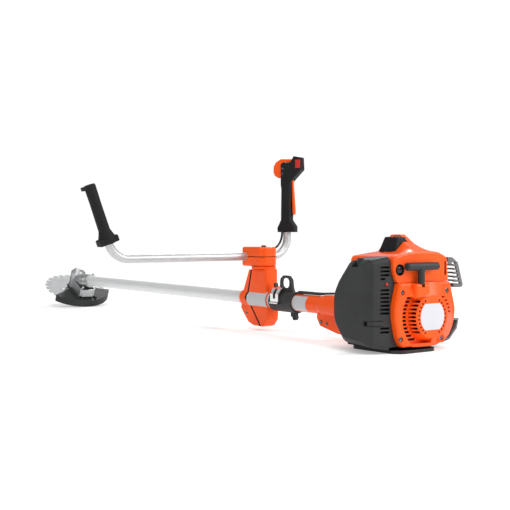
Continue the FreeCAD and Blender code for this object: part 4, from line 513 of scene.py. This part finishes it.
def badge_outline(steps=14):
    """A circle whose top and bottom are cut flat, as (left, up) corners."""
    reach = math.asin(BADGE_FLAT / BADGE_RADIUS)
    outline = []
    for side in (0.0, math.pi):
        for i in range(steps + 1):
            angle = side - reach + 2 * reach * i / steps
            outline.append((BADGE_RADIUS * math.cos(angle), BADGE_RADIUS * math.sin(angle)))
    return outline


def badge():
    """Blank badge in the middle of the starter housing."""
    mesh = slab("blank_badge", badge_outline(), -0.7, 0.1, "X")
    piece("blank_badge", mesh, BADGE, "engine", bevel=0.25)


def label(name, radius, rows):
    sheet = wrapped_sheet(name, rows, radius + FOIL_GAP, FOIL_THICKNESS)
    piece(name, sheet, FOIL, "engine")


def label_bands():
    """Blank silver labels on the left of the sleeve and of the mount's barrel."""
    half = LABEL_HALF_ANGLE
    angles = [-half + 2 * half * i / LABEL_STEPS for i in range(LABEL_STEPS + 1)]
    label("label_rear", SLEEVE_RADIUS, [(angle, 412, 467) for angle in angles])
    label("label_middle", SLEEVE_RADIUS, [(angle, 563.5, 576.8) for angle in angles])
    front = []
    for angle in angles:
        round_off = 14 * (abs(angle) / half) ** 3
        front.append((angle, 577, 664 - round_off))
    label("label_front", BARREL_RADIUS, front)


def seam_start(z):
    """Where the mount's inclined joint lies along the shaft, at a height."""
    knee_x, knee_z = SEAM_KNEE
    slope = SEAM_SLOPE_BELOW if z < knee_z else SEAM_SLOPE_ABOVE
    return knee_x + (z - knee_z) * slope


def mount_seam():
    """Black gasket in the slanting joint between the two halves of the handle mount."""
    for name, high, low in (("gasket_upper", 79.0, 18.5), ("gasket_lower", -18.5, -71.5)):
        outline = [(seam_start(high) + GASKET_START, high), (seam_start(high) + GASKET_END, high),
                   (seam_start(low) + GASKET_END, low), (seam_start(low) + GASKET_START, low)]
        sheet = slab(name, outline, -GASKET_HALF_WIDTH, GASKET_HALF_WIDTH, "Y")
        piece(name, sheet, BLACK, "engine")
    steps = 48
    rows = []
    for i in range(steps + 1):
        angle = 2 * math.pi * i / steps
        start = seam_start(BARREL_RADIUS * math.sin(angle))
        rows.append((angle, start + GASKET_START, start + GASKET_END))
    ring = wrapped_sheet("gasket_ring", rows, GASKET_INNER, GASKET_THICKNESS)
    piece("gasket_ring", ring, BLACK, "engine")


def box_outline(first, second):
    """A rectangle from two ranges, as corners."""
    return [(first[0], second[0]), (first[1], second[0]), (first[1], second[1]), (first[0], second[1])]


def shade_sheet(name, first, second, low, high, axis, body):
    """A flat dark sheet across an axis: painted shade for the inside of a vent."""
    mesh = slab(name, box_outline(first, second), low, high, axis)
    piece(name, mesh, BLACK, body)


def shade_ring(name, along, radii):
    """A flat dark ring round the shaft's axis: painted shade for the inside of vents."""
    mesh = turned_mesh(name, box_outline(along, radii), (0, 0, 0), (1, 0, 0), steps=72)
    piece(name, mesh, BLACK, "engine")


def vent_shade_sheets():
    """Dark sheets behind the starter's vents, the filter cover's slots and the cylinder cover's: painted
    shade for the inside seen through them.
    """
    shade_ring("fan_shade_sheet", (26.4, 27.2), (20.0, 72.0))
    shade_ring("ring_shade_sheet", (2.8, 3.3), (33.0, 42.6))
    shade_sheet("filter_shade_top", (98.5, 124.0), (-1.0, 118.0), 38.0, 38.8, "X", "filter_cover")
    shade_sheet("filter_shade_foot", (98.5, 124.0), (-56.0, -21.0), 38.0, 38.8, "X", "filter_cover")
    # Painted shade: a dark sheet hides the housing's side seen past the slots' ends.
    shade_sheet("filter_side_shade", (32.8, 60.0), (-56.0, 118.0), 97.1, 97.7, "Y", "filter_cover")
    shade_sheet("cover_shade_sheet", (-70.0, -52.0), (84.0, 121.0), 27.0, 28.0, "X", "engine")


def bulb_shade_cup():
    """Black cup lining the primer bulb's hole and closing it behind: painted shade for the hole's inside.
    """
    profile = [(-0.6, 11.4), (-0.6, 12.3), (17.0, 12.3), (17.0, LATHE_CORE), (16.0, LATHE_CORE),
               (16.0, 11.4)]
    mesh = turned_mesh("bulb_shade_cup", profile, BULB_CENTRE, (1, 0, 0))
    piece("bulb_shade_cup", mesh, BLACK, "engine")


def packing(name, start, end, half):
    outline = box_outline((start, end), (-half, half))
    mesh = slab(name, outline, BAR_Z - PACKING_HALF_HEIGHT, BAR_Z + PACKING_HALF_HEIGHT, "Z")
    piece(name, mesh, BLACK, "engine")


def clamp_joint():
    """Dark packing in the joint between the clamp's halves, behind and ahead of the bar."""
    packing("clamp_packing_rear", 594.0, 652.0, 24.0)
    packing("clamp_packing_front", 677.5, 685.0, 22.0)


def guard_ribs():
    """Two raised ribs on the blade guard's top, beside its bracket."""
    for name, inner, outer in (("guard_rib_left", 31.0, 37.0), ("guard_rib_right", -37.0, -31.0)):
        outline = [(-112.0, inner), (-20.0, inner), (-20.0, outer), (-108.0, outer)]
        mesh = slab(name, outline, RIB_FOOT, RIB_TOP, "Z", HEAD)
        piece(name, mesh, CHARCOAL, "engine", bevel=1.2)


def small_trim():
    """The red button at the filter, and the two screws through the throttle handle."""
    dome("stop_button", (30.0, 107, 72), (-1, 0, 0), 3.2, 2.0, RED, "filter_cover")
    x, y, top = SCREW_TOP
    for i in range(2):
        dome(f"handle_screw_{i}", (x, y, top - SCREW_SPACING * i), (0, 1, 0), 3.2, 1.0, DARK_STEEL,
             "handlebar", THROTTLE)


def throttle_cable():
    """The throttle cable's sheath: a smooth line along its route, in place of the plain CAD tube."""
    data = bpy.data.curves.new("throttle_cable", "CURVE")
    data.dimensions = "3D"
    data.bevel_depth = CABLE_RADIUS * MM
    data.bevel_resolution = 6
    data.use_fill_caps = True
    spline = data.splines.new("NURBS")
    spline.points.add(len(CABLE_ROUTE) - 1)
    for spot, at in zip(spline.points, CABLE_ROUTE):
        spot.co = (*place(at), 1)
    spline.order_u = 3
    spline.use_endpoint_u = True
    spline.resolution_u = 16
    data.materials.append(RUBBER)
    cable = bpy.data.objects.new("throttle_cable", data)
    bpy.context.scene.collection.objects.link(cable)
    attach(cable, "handlebar")
    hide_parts("handlebar_cable")


badge()
label_bands()
mount_seam()
vent_shade_sheets()
bulb_shade_cup()
clamp_joint()
guard_ribs()
small_trim()
throttle_cable()


# ---- stage ---------------------------------------------------------------------------------------

def floor():
    """White floor that lights itself a little, so that it meets the wall without a horizon."""
    mesh = bpy.data.meshes.new("floor")
    reach = FLOOR_REACH
    corners = [(-reach, -reach, 0), (reach, -reach, 0), (reach, reach, 0), (-reach, reach, 0)]
    mesh.from_pydata(corners, [], [(0, 1, 2, 3)])
    obj = bpy.data.objects.new("floor", mesh)
    obj.location.z = -FLOOR_DROP
    bpy.context.scene.collection.objects.link(obj)
    graph = Graph("floor_white")
    shade = (FLOOR_SHADE, FLOOR_SHADE, FLOOR_SHADE, 1)
    graph.set(Base_Color=shade, Roughness=0.8, Specular_IOR_Level=0.1)
    graph.set(Emission_Color=(1, 1, 1, 1), Emission_Strength=FLOOR_GLOW)
    mesh.materials.append(graph.material)


def world():
    """White studio: plain white seen directly, and as a light a softer glow, brightest overhead."""
    sky = bpy.data.worlds.new("studio")
    bpy.context.scene.world = sky
    sky.use_nodes = True
    tree = sky.node_tree
    background = tree.nodes["Background"]
    background.inputs["Color"].default_value = (1, 1, 1, 1)
    direction = tree.nodes.new("ShaderNodeTexCoord")
    parts = tree.nodes.new("ShaderNodeSeparateXYZ")
    ramp = tree.nodes.new("ShaderNodeMapRange")
    ramp.inputs["From Min"].default_value = 0.0
    ramp.inputs["From Max"].default_value = 0.8
    ramp.inputs["To Min"].default_value = GLOW_LOW
    ramp.inputs["To Max"].default_value = GLOW_HIGH
    rays = tree.nodes.new("ShaderNodeLightPath")
    choice = tree.nodes.new("ShaderNodeMix")
    choice.inputs["B"].default_value = WALL_SEEN
    tree.links.new(direction.outputs["Generated"], parts.inputs["Vector"])
    tree.links.new(parts.outputs["Z"], ramp.inputs["Value"])
    tree.links.new(ramp.outputs["Result"], choice.inputs["A"])
    tree.links.new(rays.outputs["Is Camera Ray"], choice.inputs["Factor"])
    tree.links.new(choice.outputs["Result"], background.inputs["Strength"])


def lamp(name, kind, at, toward, energy, **settings):
    """A lamp at a place that shines toward another."""
    data = bpy.data.lights.new(name, kind)
    data.energy = energy
    for key, value in settings.items():
        setattr(data, key, value)
    obj = bpy.data.objects.new(name, data)
    obj.location = place(at)
    obj.rotation_mode = "QUATERNION"
    obj.rotation_quaternion = (place(toward) - place(at)).to_track_quat("-Z", "Y")
    bpy.context.scene.collection.objects.link(obj)


def soft_box(name, at, toward, energy, width, height):
    lamp(name, "AREA", at, toward, energy, shape="RECTANGLE", size=width, size_y=height)


def lights():
    """Soft sun overhead, a low one behind for the shadow on the near side, and two soft boxes."""
    lamp("overhead", "SUN", (-900, 900, 3000), (300, 0, 0), 1.05, angle=math.radians(24))
    lamp("back_sun", "SUN", (1700, -1400, 1500), (300, 0, 0), 0.8, angle=math.radians(9))
    soft_box("left_box", (-900, 2200, 1900), (600, 0, 0), 13, 2.4, 1.2)
    soft_box("right_box", (-1500, -1500, 1500), (200, 0, 50), 50, 1.6, 1.2)


def camera():
    data = bpy.data.cameras.new("camera")
    data.sensor_width = 36
    data.lens = CAMERA_LENS
    data.clip_start = 0.05
    data.clip_end = 200
    obj = bpy.data.objects.new("camera", data)
    yaw = math.radians(CAMERA_YAW)
    pitch = math.radians(CAMERA_PITCH)
    level = math.cos(pitch)
    forward = Vector((math.cos(yaw) * level, math.sin(yaw) * level, math.sin(pitch)))
    side = forward.cross(Vector((0, 0, 1))).normalized()
    up = side.cross(forward)
    turn = Matrix((side, up, -forward)).transposed().to_4x4()
    obj.matrix_world = Matrix.Translation(place(CAMERA_AT)) @ MACHINE.to_3x3().to_4x4() @ turn
    bpy.context.scene.collection.objects.link(obj)
    bpy.context.scene.camera = obj


floor()
world()
lights()
camera()
bpy.context.scene.view_settings.view_transform = "Standard"

bpy.context.view_layer.update()
